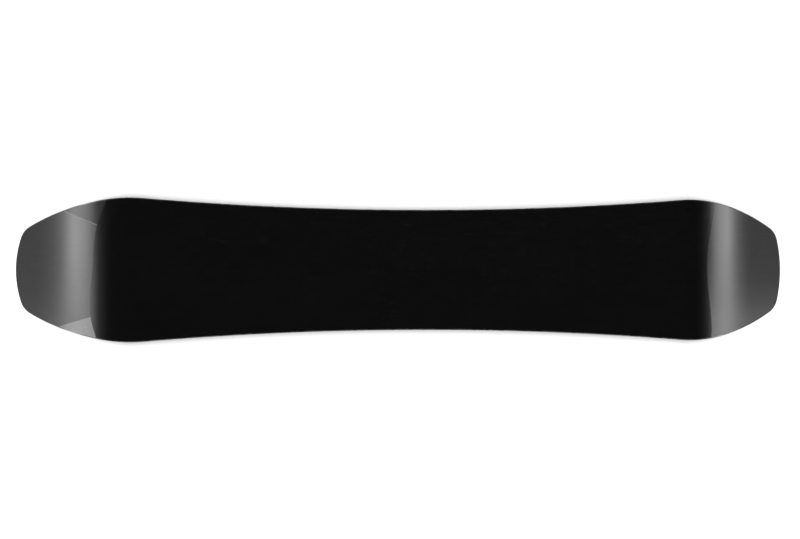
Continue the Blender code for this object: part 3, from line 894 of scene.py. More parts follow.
class Scratches(Effect):
    """Sparse hairline scratches in two directions."""

    NAME = "scratches"
    INPUTS = {"Amount": 0.5}
    OUTPUTS = ("Mask",)

    @classmethod
    def fill(cls, graph: Graph, source: Outputs) -> dict[str, Socket]:
        """Thin ridges of two stretched noises, broken up.

        Args:
            graph: the group's graph.
            source: its inputs by name.

        Returns:
            The socket to put out under each name.
        """
        masks = []
        for stretch, turn in (((6.0, 230.0, 6.0), 4.0), ((7.0, 190.0, 7.0), -17.0)):
            wander = graph.noise(graph.stretched(stretch, math.radians(turn)), 1.0, 1.0)
            ridge = graph.math("ABSOLUTE", graph.math("SUBTRACT", wander, 0.5))
            masks.append(graph.ranged(ridge, 0.0, 0.004, 1.0, 0.0))
        both = graph.math("MAXIMUM", *masks)
        broken = graph.noise(graph.stretched((22.0, 40.0, 22.0)), 1.0, 2.0)
        breaks = graph.ranged(broken, 0.54, 0.66)
        mask = graph.times(graph.times(both, breaks), source["Amount"])
        return {"Mask": mask}


class Speckle(Effect):
    """Fine dust and the pores of a moulded or printed surface."""

    NAME = "speckle"
    INPUTS = {"Grain": 1400.0, "Dust": 0.3}
    OUTPUTS = ("Height", "Dust")

    @classmethod
    def fill(cls, graph: Graph, source: Outputs) -> dict[str, Socket]:
        """Pores from a fine noise, dust from the peaks of a coarser one.

        Args:
            graph: the group's graph.
            source: its inputs by name.

        Returns:
            The socket to put out under each name.
        """
        place = graph.place()
        pores = graph.noise(place, source["Grain"])
        specks = graph.ranged(graph.noise(place, 520.0, 1.0), 0.70, 0.76)
        drifts = graph.ranged(graph.noise(place, 9.0, 3.0), 0.4, 0.65)
        dust = graph.times(graph.times(specks, drifts), source["Dust"])
        return {"Height": pores, "Dust": dust}


class RimWear(Effect):
    """Wear that fades in from a piece's rim, read from its rim attribute and broken up."""

    NAME = "rim_wear"
    INPUTS = {"Spread": 0.5}
    OUTPUTS = ("Mask",)

    @classmethod
    def fill(cls, graph: Graph, source: Outputs) -> dict[str, Socket]:
        """The rim attribute against a noise.

        Args:
            graph: the group's graph.
            source: its inputs by name.

        Returns:
            The socket to put out under each name.
        """
        rim = graph.add("Attribute", attribute_name="rim").outputs["Fac"]
        place = graph.place()
        rough = graph.noise(place, 60.0, 4.0, 0.6)
        level = graph.plus(rim, graph.math("SUBTRACT", rough, 1.5))
        return {"Mask": graph.ranged(graph.plus(level, source["Spread"]), 0.0, 0.5)}


class Grain(Effect):
    """Wood grain that runs along the board, with growth rings and pores."""

    NAME = "grain"
    INPUTS = {"Rings": 1.0, "Shift": 0.0}
    OUTPUTS = ("Figure", "Pores")

    @classmethod
    def fill(cls, graph: Graph, source: Outputs) -> dict[str, Socket]:
        """Bands across a warped, stretched place.

        Args:
            graph: the group's graph.
            source: its inputs by name.

        Returns:
            The socket to put out under each name.
        """
        place = graph.stretched((0.9, 26.0, 26.0))
        shifted = graph.add("VectorMath", {0: place, 1: source["Shift"]}, operation="ADD").outputs[0]
        bend = graph.noise(shifted, 1.6, 3.0)
        turns = graph.times(graph.times(bend, 60.0), source["Rings"])
        pores = graph.noise(graph.stretched((60.0, 1800.0, 1800.0)), 1.0, 2.0)
        return {"Figure": graph.ranged(graph.math("SINE", turns), -1.0, 1.0),
                "Pores": graph.ranged(pores, 0.52, 0.7)}


class Weave(Effect):
    """Woven rovings, over and under, under a skin of resin."""

    NAME = "weave"
    INPUTS = {"Count": 1400.0}
    OUTPUTS = ("Height", "Yarn")

    @classmethod
    def fill(cls, graph: Graph, source: Outputs) -> dict[str, Socket]:
        """Two crossed sines whose phase says which yarn is on top.

        Args:
            graph: the group's graph.
            source: its inputs by name.

        Returns:
            The socket to put out under each name.
        """
        parts = graph.add("SeparateXYZ", {0: graph.place()})
        warp = graph.math("SINE", graph.times(parts.outputs["X"], source["Count"]))
        weft = graph.math("SINE", graph.times(parts.outputs["Y"], source["Count"]))
        height = graph.times(warp, weft)
        return {"Height": height, "Yarn": graph.ranged(height, -1.0, 1.0)}


# Finishes.


@dataclass(frozen=True)
class Finish:
    """A material of the board: its name and the record's slot; a subclass wires it."""

    name: str
    slot: str

    def build(self) -> bpy.types.Material:
        """The finish's material, built on first use.

        Returns:
            The material.
        """
        found = bpy.data.materials.get(self.name)
        if found is not None:
            return found
        material = bpy.data.materials.new(self.name)
        material.use_nodes = True
        shader = material.node_tree.nodes["Principled BSDF"]
        self.wire(Graph(material.node_tree), shader)
        return material

    def wire(self, graph: Graph, shader: Node) -> None:
        """Wire the material.

        Args:
            graph: its graph.
            shader: its Principled BSDF.
        """
        raise NotImplementedError

    @staticmethod
    def join(graph: Graph, shader: Node, colour: Socket, rough: Socket, height: Socket, strength: float,
             depth: float) -> Node:
        """Wire the results that every finish has.

        Args:
            graph: the material's graph.
            shader: its Principled BSDF.
            colour: the colour.
            rough: the roughness.
            height: the relief, from 0 to 1.
            strength: the bump's strength.
            depth: the relief's depth.

        Returns:
            The Bump node.
        """
        bump = graph.add("Bump", {"Height": height, "Strength": strength, "Distance": depth})
        graph.tree.links.new(colour, shader.inputs["Base Color"])
        graph.tree.links.new(rough, shader.inputs["Roughness"])
        graph.tree.links.new(bump.outputs[0], shader.inputs["Normal"])
        return bump

    def dress(self, piece: bpy.types.Object) -> None:
        """Give a new piece this finish.

        Args:
            piece: the piece.
        """
        piece.data.materials.clear()
        piece.data.materials.append(self.build())

    def recoat(self, node: bpy.types.Object) -> None:
        """Give a carried-over CAD node this finish."""
        for slot in node.material_slots:
            slot.material = self.build()


@dataclass(frozen=True)
class Stripe:
    """A thin light line along a straight border, from one point of the base to another."""

    start: Point
    stop: Point
    width: float
    tone: float

    SOFTNESS = 0.1

    def mask(self, graph: Graph) -> Socket:
        """The line as a mask.

        Args:
            graph: the material's graph.

        Returns:
            One on the line and nothing off it.
        """
        along = (Vector(self.stop) - Vector(self.start)).normalized()
        normal = (-along.y, along.x, 0.0)
        offset = self.start[0] * normal[0] + self.start[1] * normal[1]
        place = graph.place()
        across = graph.add("VectorMath", {0: place, 1: normal}, operation="DOT_PRODUCT").outputs["Value"]
        distance = graph.math("ABSOLUTE", graph.math("SUBTRACT", across, offset))
        full, gone = (self.width * (0.5 + side * self.SOFTNESS) for side in (-1, 1))
        return graph.ranged(distance, full, gone, 1.0, 0.0)


@dataclass(frozen=True)
class RunningBase(Finish):
    """Sintered polyethylene with a stone-ground structure; its colour may be painted lighter towards the
    right rim, a painted sheen, and it is rougher there.
    """

    tone: float = 0.05
    roughness: float = 0.13
    specular: float = 0.5
    dulling: float = 0.0
    # Painted sheen: how much lighter the colour is painted towards the right rim, where the light falls
    # brighter.
    painted_sheen: float = 0.0
    right_ramp_from: float = -0.06
    right_ramp_to: float = 0.10
    stripe: Stripe | None = None

    PATCH_CONTRAST = 0.07
    PATCH_GLOSS = 0.012
    LINE_SHARE, LINE_TONE = 0.25, 1.18
    DASH_SHARE, DASH_TONE, DASH_DULLING = 0.5, 1.3, 0.03
    SCRATCH_TONE, SCRATCH_LIFT, SCRATCH_DULLING = 1.5, 0.01, 0.12
    PAINTED_SHEEN_CURVE = 3.0

    def wire(self, graph: Graph, shader: Node) -> None:
        """Structure lines, wax patches, dashes, hairline scratches and a painted sheen towards the right
        rim.

        Args:
            graph: the material's graph.
            shader: its Principled BSDF.
        """
        streaks = Streaks.use(graph, cross=0.2)
        scratches = Scratches.use(graph, amount=0.35)
        patch, dashes, scratched = streaks["Patch"], streaks["Dashes"], scratches["Mask"]
        dim, bright = (grey(self.tone * (1 + side * self.PATCH_CONTRAST)) for side in (-1, 1))
        colour = graph.mix(patch, dim, bright)
        colour = graph.coat(colour, streaks["Lines"], self.LINE_SHARE, grey(self.tone * self.LINE_TONE))
        colour = graph.coat(colour, dashes, self.DASH_SHARE, grey(self.tone * self.DASH_TONE))
        if self.painted_sheen:
            # Painted sheen: the ramp wax rises towards the right rim, and film paints the colour lighter
            # along it where the light falls brighter; the same ramp also makes the base rougher there.
            wax = graph.ranged(graph.axis("Y"), self.right_ramp_from, self.right_ramp_to)
            film = graph.math("POWER", wax, self.PAINTED_SHEEN_CURVE)
            colour = graph.mix(film, colour, grey(self.tone + self.painted_sheen))
        colour = graph.mix(scratched, colour, grey(self.tone * self.SCRATCH_TONE + self.SCRATCH_LIFT))
        if self.stripe is not None:
            colour = graph.mix(self.stripe.mask(graph), colour, grey(self.stripe.tone))
        sheen = self.roughness
        rough = graph.ranged(patch, 0.0, 1.0, sheen - self.PATCH_GLOSS, sheen + self.PATCH_GLOSS)
        rough = graph.lift(rough, scratched, self.SCRATCH_DULLING)
        rough = graph.lift(rough, dashes, self.DASH_DULLING)
        if self.painted_sheen:
            rough = graph.lift(rough, wax, self.dulling)
        self.join(graph, shader, colour, rough, streaks["Height"], strength=0.25, depth=0.000012)
        shader.inputs["Specular IOR Level"].default_value = self.specular


@dataclass(frozen=True)
class EdgeSteel(Finish):
    """Hardened steel, ground along its length, with a little tarnish."""

    def wire(self, graph: Graph, shader: Node) -> None:
        """Grinding lines, tarnish and nicks.

        Args:
            graph: the material's graph.
            shader: its Principled BSDF.
        """
        place = graph.place()
        tarnish = graph.ranged(graph.noise(place, 26.0, 4.0, 0.6), 0.42, 0.68)
        lines = Streaks.use(graph, fineness=3.0, cross=0.5)
        nicks = graph.ranged(graph.noise(place, 620.0, 2.0), 0.66, 0.74)
        colour = graph.mix(tarnish, (0.115, 0.115, 0.120, 1.0), (0.070, 0.069, 0.068, 1.0))
        colour = graph.coat(colour, nicks, 0.5, (0.040, 0.039, 0.038, 1.0))
        rough = graph.ranged(tarnish, 0.0, 1.0, 0.24, 0.42)
        self.join(graph, shader, colour, rough, lines["Height"], strength=0.4, depth=0.00001)
        shader.inputs["Metallic"].default_value = 1.0


@dataclass(frozen=True)
class PlanedPlastic(Finish):
    """Black plastic with the marks of a plane or a mould."""

    tone: float = 0.016

    STRETCH = {"X": 7.0, "Y": 7.0, "Z": 1500.0}

    def wire(self, graph: Graph, shader: Node) -> None:
        """Planing lines, pores and dust.

        Args:
            graph: the material's graph.
            shader: its Principled BSDF.
        """
        layers = {name: graph.times(graph.axis(name), scale) for name, scale in self.STRETCH.items()}
        planing = graph.noise(graph.add("CombineXYZ", layers).outputs[0], 1.0, 2.0)
        speckle = Speckle.use(graph, grain=2600.0, dust=0.5)
        colour = graph.mix(planing, grey(self.tone * 0.75), grey(self.tone * 1.35))
        colour = graph.mix(speckle["Dust"], colour, grey(0.16))
        height = graph.plus(planing, graph.times(speckle["Height"], 0.4))
        rough = graph.ranged(planing, 0.3, 0.7, 0.36, 0.52)
        self.join(graph, shader, colour, rough, height, strength=0.5, depth=0.00004)


@dataclass(frozen=True)
class TopsheetFilm(Finish):
    """A dark satin nylon film over the laminate, brushed along the board, pale where the rim has worn."""

    tone: float = 0.027

    def wire(self, graph: Graph, shader: Node) -> None:
        """Brushed lines, fine pores, dust, scratches and rim wear.

        Args:
            graph: the material's graph.
            shader: its Principled BSDF.
        """
        streaks = Streaks.use(graph, fineness=1.6, cross=0.1)
        speckle = Speckle.use(graph, grain=1700.0, dust=0.22)
        scratches = Scratches.use(graph, amount=0.35)
        wear = RimWear.use(graph, spread=0.28)
        colour = graph.mix(streaks["Lines"], (0.019, 0.021, 0.024, 1.0), (0.033, 0.035, 0.039, 1.0))
        patch = streaks["Patch"]
        colour = graph.coat(colour, patch, 0.35, grey(self.tone * 1.5))
        colour = graph.mix(speckle["Dust"], colour, grey(0.14))
        colour = graph.mix(scratches["Mask"], colour, grey(0.085))
        colour = graph.coat(colour, wear["Mask"], 0.6, grey(0.17))
        rough = graph.ranged(patch, 0.0, 1.0, 0.42, 0.50)
        rough = graph.lift(rough, wear["Mask"], 0.18)
        height = graph.plus(graph.times(streaks["Height"], 0.6),
                            graph.times(speckle["Height"], 0.7))
        self.join(graph, shader, colour, rough, height, strength=0.35, depth=0.00004)
        shader.inputs["Specular IOR Level"].default_value = 0.32


@dataclass(frozen=True)
class GlassCloth(Finish):
    """Glass fabric set in resin."""

    count: float = 2900.0
    yarn: Colour = (0.130, 0.140, 0.122, 1.0)
    resin: Colour = (0.062, 0.066, 0.056, 1.0)

    def wire(self, graph: Graph, shader: Node) -> None:
        """Yarns under resin, with cloudy patches.

        Args:
            graph: the material's graph.
            shader: its Principled BSDF.
        """
        weave = Weave.use(graph, count=self.count)
        cloud = graph.noise(graph.place(), 40.0, 3.0)
        colour = graph.mix(weave["Yarn"], self.resin, self.yarn)
        colour = graph.mix(graph.ranged(cloud, 0.35, 0.65, 0.0, 0.4), colour, self.resin)
        rough = graph.ranged(cloud, 0.3, 0.7, 0.25, 0.45)
        self.join(graph, shader, colour, rough, weave["Height"], strength=0.3, depth=0.00005)


@dataclass(frozen=True)
class DampingRubber(Finish):
    """Thin black rubber foil."""

    def wire(self, graph: Graph, shader: Node) -> None:
        """Matt black with a fine skin.

        Args:
            graph: the material's graph.
            shader: its Principled BSDF.
        """
        speckle = Speckle.use(graph, grain=3200.0, dust=0.35)
        colour = graph.mix(speckle["Height"], grey(0.010), grey(0.024))
        colour = graph.mix(speckle["Dust"], colour, grey(0.10))
        rough = graph.ranged(speckle["Height"], 0.3, 0.7, 0.7, 0.85)
        self.join(graph, shader, colour, rough, speckle["Height"], strength=0.4, depth=0.00003)


@dataclass(frozen=True)
class CoreWood(Finish):
    """A strip of the core's wood."""

    light: Colour = (0.68, 0.52, 0.33, 1.0)
    dark: Colour = (0.52, 0.36, 0.20, 1.0)
    rings: float = 1.0
    shift: float = 0.0

    def wire(self, graph: Graph, shader: Node) -> None:
        """Growth rings and pores.

        Args:
            graph: the material's graph.
            shader: its Principled BSDF.
        """
        grain = Grain.use(graph, rings=self.rings, shift=self.shift)
        colour = graph.mix(grain["Figure"], self.light, self.dark)
        shade = tuple(part * 0.45 for part in self.dark[:3]) + (1.0,)
        colour = graph.coat(colour, grain["Pores"], 0.6, shade)
        rough = graph.ranged(grain["Figure"], 0.0, 1.0, 0.5, 0.66)
        bump = self.join(graph, shader, colour, rough, grain["Pores"], strength=0.4, depth=0.00005)
        bump.invert = True


@dataclass(frozen=True)
class TurnedSteel(Finish):
    """Plated steel with the rings that turning leaves, with painted shade down in the thread."""

    # Painted shade in the bore: full below one height, gone above the other.
    shade_gone_above: float = 0.0098
    shade_full_below: float = 0.0090

    def wire(self, graph: Graph, shader: Node) -> None:
        """Fine rings, stains, specks and painted shade down the thread.

        Args:
            graph: the material's graph.
            shader: its Principled BSDF.
        """
        place = graph.place()
        rings = graph.add("TexWave", {"Vector": place, "Scale": 1500.0, "Distortion": 1.5},
                          wave_type="RINGS", rings_direction="Z").outputs["Fac"]
        stain = graph.ranged(graph.noise(place, 260.0, 4.0), 0.4, 0.7)
        height = graph.axis("Z")
        # Painted shade: the colour is painted darker down the threaded bore, where shade falls, and it is
        # rougher there too.
        bore_shade = graph.ranged(height, self.shade_full_below, self.shade_gone_above, 0.8, 0.0)
        colour = graph.mix(stain, (0.58, 0.57, 0.54, 1.0), (0.40, 0.39, 0.37, 1.0))
        colour = graph.mix(bore_shade, colour, (0.085, 0.080, 0.072, 1.0))
        rough = graph.math("MULTIPLY_ADD", bore_shade, 0.2, graph.ranged(stain, 0.0, 1.0, 0.22, 0.40))
        self.join(graph, shader, colour, rough, rings, strength=0.15, depth=0.00002)
        shader.inputs["Metallic"].default_value = 1.0


BLACK_BASE = RunningBase("base_black_polyethylene", "base_black", tone=0.0012)
# The grey panels get a painted sheen, lighter towards the right rim.
GREY_BASE = RunningBase("base_grey_polyethylene", "base_grey", tone=0.029, dulling=0.11, painted_sheen=0.057)
DARK_BASE = RunningBase("base_dark_grey_polyethylene", "base_dark_grey", tone=0.018, specular=0.42)
LIGHT_BASE = RunningBase("base_light_grey_polyethylene", "base_light_grey", tone=0.200, roughness=0.25)
EDGE_STEEL = EdgeSteel("ground_edge_steel", "edge_steel")
RUBBER = DampingRubber("damping_rubber", "rubber")
CLOTH = GlassCloth("glass_cloth_in_resin", "glass_fibre")
MAT_CLOTH = GlassCloth("glass_mat", "mat_glass", count=900.0, yarn=(0.70, 0.72, 0.66, 1.0),
                       resin=(0.48, 0.49, 0.42, 1.0))
WALL_PLASTIC = PlanedPlastic("planed_wall_plastic", "sidewall_abs", tone=0.014)
SPACER_PLASTIC = PlanedPlastic("moulded_spacer_plastic", "spacer_abs", tone=0.018)
TOP_FILM = TopsheetFilm("satin_top_film", "topsheet")
NUT_STEEL = TurnedSteel("plated_nut_steel", "insert_steel")
POPLAR = CoreWood("poplar_strip", "poplar")
BEECH = CoreWood("beech_strip", "beech", light=(0.58, 0.38, 0.22, 1.0), dark=(0.42, 0.25, 0.13, 1.0),
                 rings=1.7, shift=3.0)


# Sub-assemblies.


def settle(piece: bpy.types.Object, node: str, finish: Finish) -> None:
    """Let a new piece stand for a CAD node on the board's one body.

    Args:
        piece: the piece.
        node: the node.
        finish: the piece's finish.
    """
    finish.dress(piece)
    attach(piece, "root")
    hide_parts(node)
    log.info("%s stands for %s in %s", piece.name, node, finish.name)


def ring_points(centre: Point, radius: float, count: int) -> list[Point]:
    """The corners of a round hole or barrel."""
    turns = [2 * math.pi * step / count for step in range(count)]
    return [(centre[0] + radius * math.cos(turn), centre[1] + radius * math.sin(turn)) for turn in turns]


def area(loop: Sequence[Point]) -> float:
    """The area that a closed loop bounds."""
    pairs = zip(loop, list(loop[1:]) + [loop[0]])
    return abs(sum(a[0] * b[1] - b[0] * a[1] for a, b in pairs)) / 2


@dataclass(frozen=True)
class BaseSheet:
    """The die-cut running base: a black middle, a grey nose with two corner panels, and a grey tail.

    A seam's numbers are how far its curve's control points lie in from the tip's end, from left to right.
    A border's two are how far in from the tip it leaves the rim, and how far in from the side it meets the
    seam.
    """

    thickness: float = 0.0012
    rim_gap: float = 0.00003
    nose_seam: tuple[float, ...] = (0.2025, 0.1959, 0.1142, 0.2413, 0.1116, 0.1726, 0.1823)
    tail_seam: tuple[float, ...] = (0.1418, 0.1490, 0.1902, 0.1377, 0.1556)
    seam_runout: float = 0.010
    seam_steps: int = 56
    overshoot: float = 0.002
    left_border: Point = (0.1103, 0.05715)
    right_border: Point = (0.0975, 0.05255)
    stripe_width: float = 0.0011
    stripe_tone: float = 0.34
    nose_tone: float = 0.043
    # The nose panel's painted sheen, lighter towards the right rim.
    nose_painted_sheen: float = 0.021

    def build(self) -> None:
        """Cut the sheet into its five panels, press them and dress them."""
        sheet = inset_loop(Outline.loop(), BLANK.edge_width + self.rim_gap)
        nose_path = self.seam(NOSE, self.nose_seam)
        nose, rest = sorted(split_loop(sheet, nose_path), key=area)
        tail, centre = sorted(split_loop(rest, self.seam(TAIL, self.tail_seam)), key=area)
        left = self.border(Hand.LEFT, self.left_border, nose_path)
        right = self.border(Hand.RIGHT, self.right_border, nose_path)
        left_corner, nose = sorted(split_loop(nose, left), key=area)
        right_corner, nose = sorted(split_loop(nose, right), key=area)
        start, stop = (MOULD.place(*left[index], 0.0) for index in (1, 2))
        stripe = Stripe((start.x, start.y), (stop.x, stop.y), self.stripe_width, self.stripe_tone)
        nose_finish = replace(GREY_BASE, name="base_grey_polyethylene_nose", tone=self.nose_tone,
                              painted_sheen=self.nose_painted_sheen, stripe=stripe)
        for node, loop, finish in (
            ("base_centre", centre, BLACK_BASE),
            ("base_nose", nose, nose_finish),
            ("base_nose_corner_left", left_corner, DARK_BASE),
            ("base_nose_corner_right", right_corner, LIGHT_BASE),
            ("base_tail", tail, GREY_BASE),
        ):
            work = bmesh.new()
            stack(work, [(loop, 0.0), (loop, self.thickness)])
            slopes = press_flat(work)
            panel = to_object(node.replace("base", "running_panel"), work)
            follow_mould(panel, slopes)
            settle(panel, node, finish)

    def seam(self, tip: Tip, distances: Sequence[float]) -> list[Point]:
        """The points of a seam across the board.

        Args:
            tip: the end of the board that it is measured from.
            distances: the control points' distances from that end.

        Returns:
            The points of the curve, from left to right.
        """
        half_width = tip.half_width + self.seam_runout
        last = len(distances) - 1
        controls = [Vector((tip.side * (tip.reach - distance), half_width * (2 * index / last - 1)))
                    for index, distance in enumerate(distances)]
        path = []
        for step in range(self.seam_steps + 1):
            level = controls
            while len(level) > 1:
                level = [a.lerp(b, step / self.seam_steps) for a, b in zip(level, level[1:])]
            path.append((level[0].x, level[0].y))
        return path

    def border(self, hand: Hand, numbers: Point, seam: list[Point]) -> list[Point]:
        """The straight cut between the nose panel and a corner panel.

        Args:
            hand: the side of the board.
            numbers: where it leaves the rim and where it meets the seam.
            seam: the nose seam.

        Returns:
            Four points on one line: past the rim, on the rim, on the seam and just past it.
        """
        start, depth = numbers
        rim_u = -(NOSE.reach - start)
        rim = [sample.at(BLANK.edge_width) for sample in NOSE.quarter(hand)]
        before, after = next((a, b) for a, b in zip(rim, rim[1:]) if b[0] <= rim_u)
        share = (rim_u - before[0]) / (after[0] - before[0])
        outer = Vector(before).lerp(Vector(after), share)
        y = hand.value * (NOSE.half_width - depth)
        low, high = next((a, b) for a, b in zip(seam, seam[1:]) if a[1] <= y < b[1])
        inner = Vector(low).lerp(Vector(high), (y - low[1]) / (high[1] - low[1]))
        way = (inner - outer).normalized()
        points = (outer - way * self.seam_runout, outer, inner, inner + way * self.overshoot)
        return [(point.x, point.y) for point in points]


@dataclass(frozen=True)
class SteelEdges:
    """The steel edge in four lengths, each an L in section: a runner, and a thin tang in the laminate."""

    joint_gap: float = 0.00003
    break_corner: float = 0.00012

    def build(self) -> None:
        """Bend the four lengths round the board and dress them."""
        for name, samples in (
            ("nose", Outline.around(NOSE, NOSE.edge_joint)),
            ("tail", Outline.around(TAIL, TAIL.edge_joint)),
            ("left", Outline.between(Hand.LEFT, NOSE.edge_joint, TAIL.edge_joint)),
            ("right", Outline.between(Hand.RIGHT, NOSE.edge_joint, TAIL.edge_joint)),
        ):
            work = bmesh.new()
            sweep(work, samples, self.section())
            settle(to_object(f"steel_edge_{name}", work), f"edge_{name}", EDGE_STEEL)

    def section(self) -> list[Point]:
        """The section of the runner and its tang.

        Returns:
            Its corners as (inset, height), with both outer corners broken.
        """
        broken, width = self.break_corner, BLANK.edge_width
        high, low, tang = BLANK.tang_high, BLANK.tang_low, BLANK.tang_inset
        return [(0.0, broken), (0.0, high - broken), (broken, high), (tang, high), (tang, low), (width, low),
                (width, 0.0), (broken, 0.0)]


@dataclass(frozen=True)
class Laminate:
    """The rubber foils and the two glass laminates."""

    foil_low: float = 0.00196
    foil_high: float = 0.00262
    panel_low: float = 0.00122
    panel_high: float = 0.00196
    step_outer: float = 0.00725
    step_inner: float = 0.00775
    upper_low: float = 0.00913
    upper_high: float = 0.00987

    def build(self) -> None:
        """Lay the foils and both laminates."""
        for hand in Hand:
            side = hand.name.lower()
            low, high = self.foil_low, self.foil_high
            near, far = BLANK.trim_inset, BLANK.tang_inset
            work = bmesh.new()
            sweep(work, Outline.side(hand), [(near, low), (near, high), (far, high), (far, low)])
            settle(to_object(f"rubber_foil_{side}", work), f"damping_foil_{side}", RUBBER)
        loop = Outline.loop()
        trim = inset_loop(loop, BLANK.trim_inset)
        outer = inset_loop(loop, self.step_outer)
        inner = inset_loop(loop, self.step_inner)
        work = bmesh.new()
        stack(work, [(outer, self.panel_low), (outer, BLANK.rim_glass_low), (trim, BLANK.rim_glass_low),
                     (trim, BLANK.rim_glass_high), (inner, BLANK.rim_glass_high), (inner, self.panel_high)])
        press_flat(work)
        settle(to_object("glass_laminate_lower", work), "lower_glass", CLOTH)
        work = bmesh.new()
        stack(work, [(trim, self.upper_low), (trim, self.upper_high)],
              INSERTS.holes(self.upper_low, self.upper_high))
        press_flat(work)
        settle(to_object("glass_laminate_upper", work), "upper_glass", CLOTH)


@dataclass(frozen=True)
class Perimeter:
    """The planed sidewalls, and the spacers that fill the tips past the wood core's round ends."""

    low: float = 0.0022
    rim: float = 0.00339
    high: float = 0.00912
    step: float = 0.0080
    window_steps: int = 40

    def build(self) -> None:
        """Run the sidewalls and fill the tips."""
        near, far = BLANK.trim_inset, BLANK.wall_width
        section = [(near, self.rim), (near, BLANK.wall_rim_low), (near, self.high), (far, self.high),
                   (far, self.low), (self.step, self.low), (self.step, self.rim)]
        for hand in Hand:
            work = bmesh.new()
            sweep(work, Outline.between(hand, NOSE.wall_end, TAIL.wall_end), section)
            side = hand.name.lower()
            settle(to_object(f"planed_wall_{side}", work), f"sidewall_{side}", WALL_PLASTIC)
        for name, tip in (("nose", NOSE), ("tail", TAIL)):
            outer, inner = self.tip_loop(tip, BLANK.trim_inset), self.tip_loop(tip, self.step)
            work = bmesh.new()
            stack(work, [(inner, self.low), (inner, self.rim), (outer, self.rim),
                         (outer, BLANK.wall_rim_low), (outer, self.high)])
            press_flat(work)
            settle(to_object(f"tip_filler_{name}", work), f"tip_spacer_{name}", SPACER_PLASTIC)

    def tip_loop(self, tip: Tip, inset: float) -> list[Point]:
        """The outline of a spacer, moved in by inset but kept off the wood core's round end.

        Args:
            tip: the end of the board.
            inset: how far in from the board's outline.

        Returns:
            The closed loop.
        """
        radius, centre = BLANK.window_radius, tip.core_centre
        loop = []
        for u, y in inset_loop(Outline.around(tip, tip.wall_end), inset):
            core = centre + math.sqrt(radius ** 2 - y ** 2) if abs(y) < radius else 0.0
            loop.append((tip.side * max(tip.side * u, core), y))
        reach = tip.half_width - 2 * BLANK.wall_width
        for step in range(self.window_steps + 1):
            y = reach * (2 * step / self.window_steps - 1)
            loop.append((tip.side * (centre + math.sqrt(radius ** 2 - y ** 2)), y))
        return loop


@dataclass(frozen=True)
class TopFilm:
    """The topsheet, with a broken outer corner and a hole over each insert."""

    broken: float = 0.00020
    rim_band: float = 0.0060
    worn_rings: int = 3

    def build(self) -> None:
        """Trim the sheet, pierce it, press it and mark its rim for wear."""
        low, high = BLANK.topsheet_low, BLANK.topsheet_high
        loop = Outline.loop()
        trim = inset_loop(loop, BLANK.trim_inset)
        shoulder = inset_loop(loop, BLANK.trim_inset + self.broken)
        band = inset_loop(loop, BLANK.trim_inset + self.rim_band)
        work = bmesh.new()
        rim = work.verts.layers.float.new("rim")
        stack(work, [(trim, low), (trim, high - self.broken), (shoulder, high), (band, high)],
              INSERTS.holes(low, high))
        work.verts.ensure_lookup_table()
        for vert in work.verts[:self.worn_rings * len(loop)]:
            vert[rim] = 1.0
        press_flat(work)
        settle(to_object("top_film", work), "topsheet", TOP_FILM)


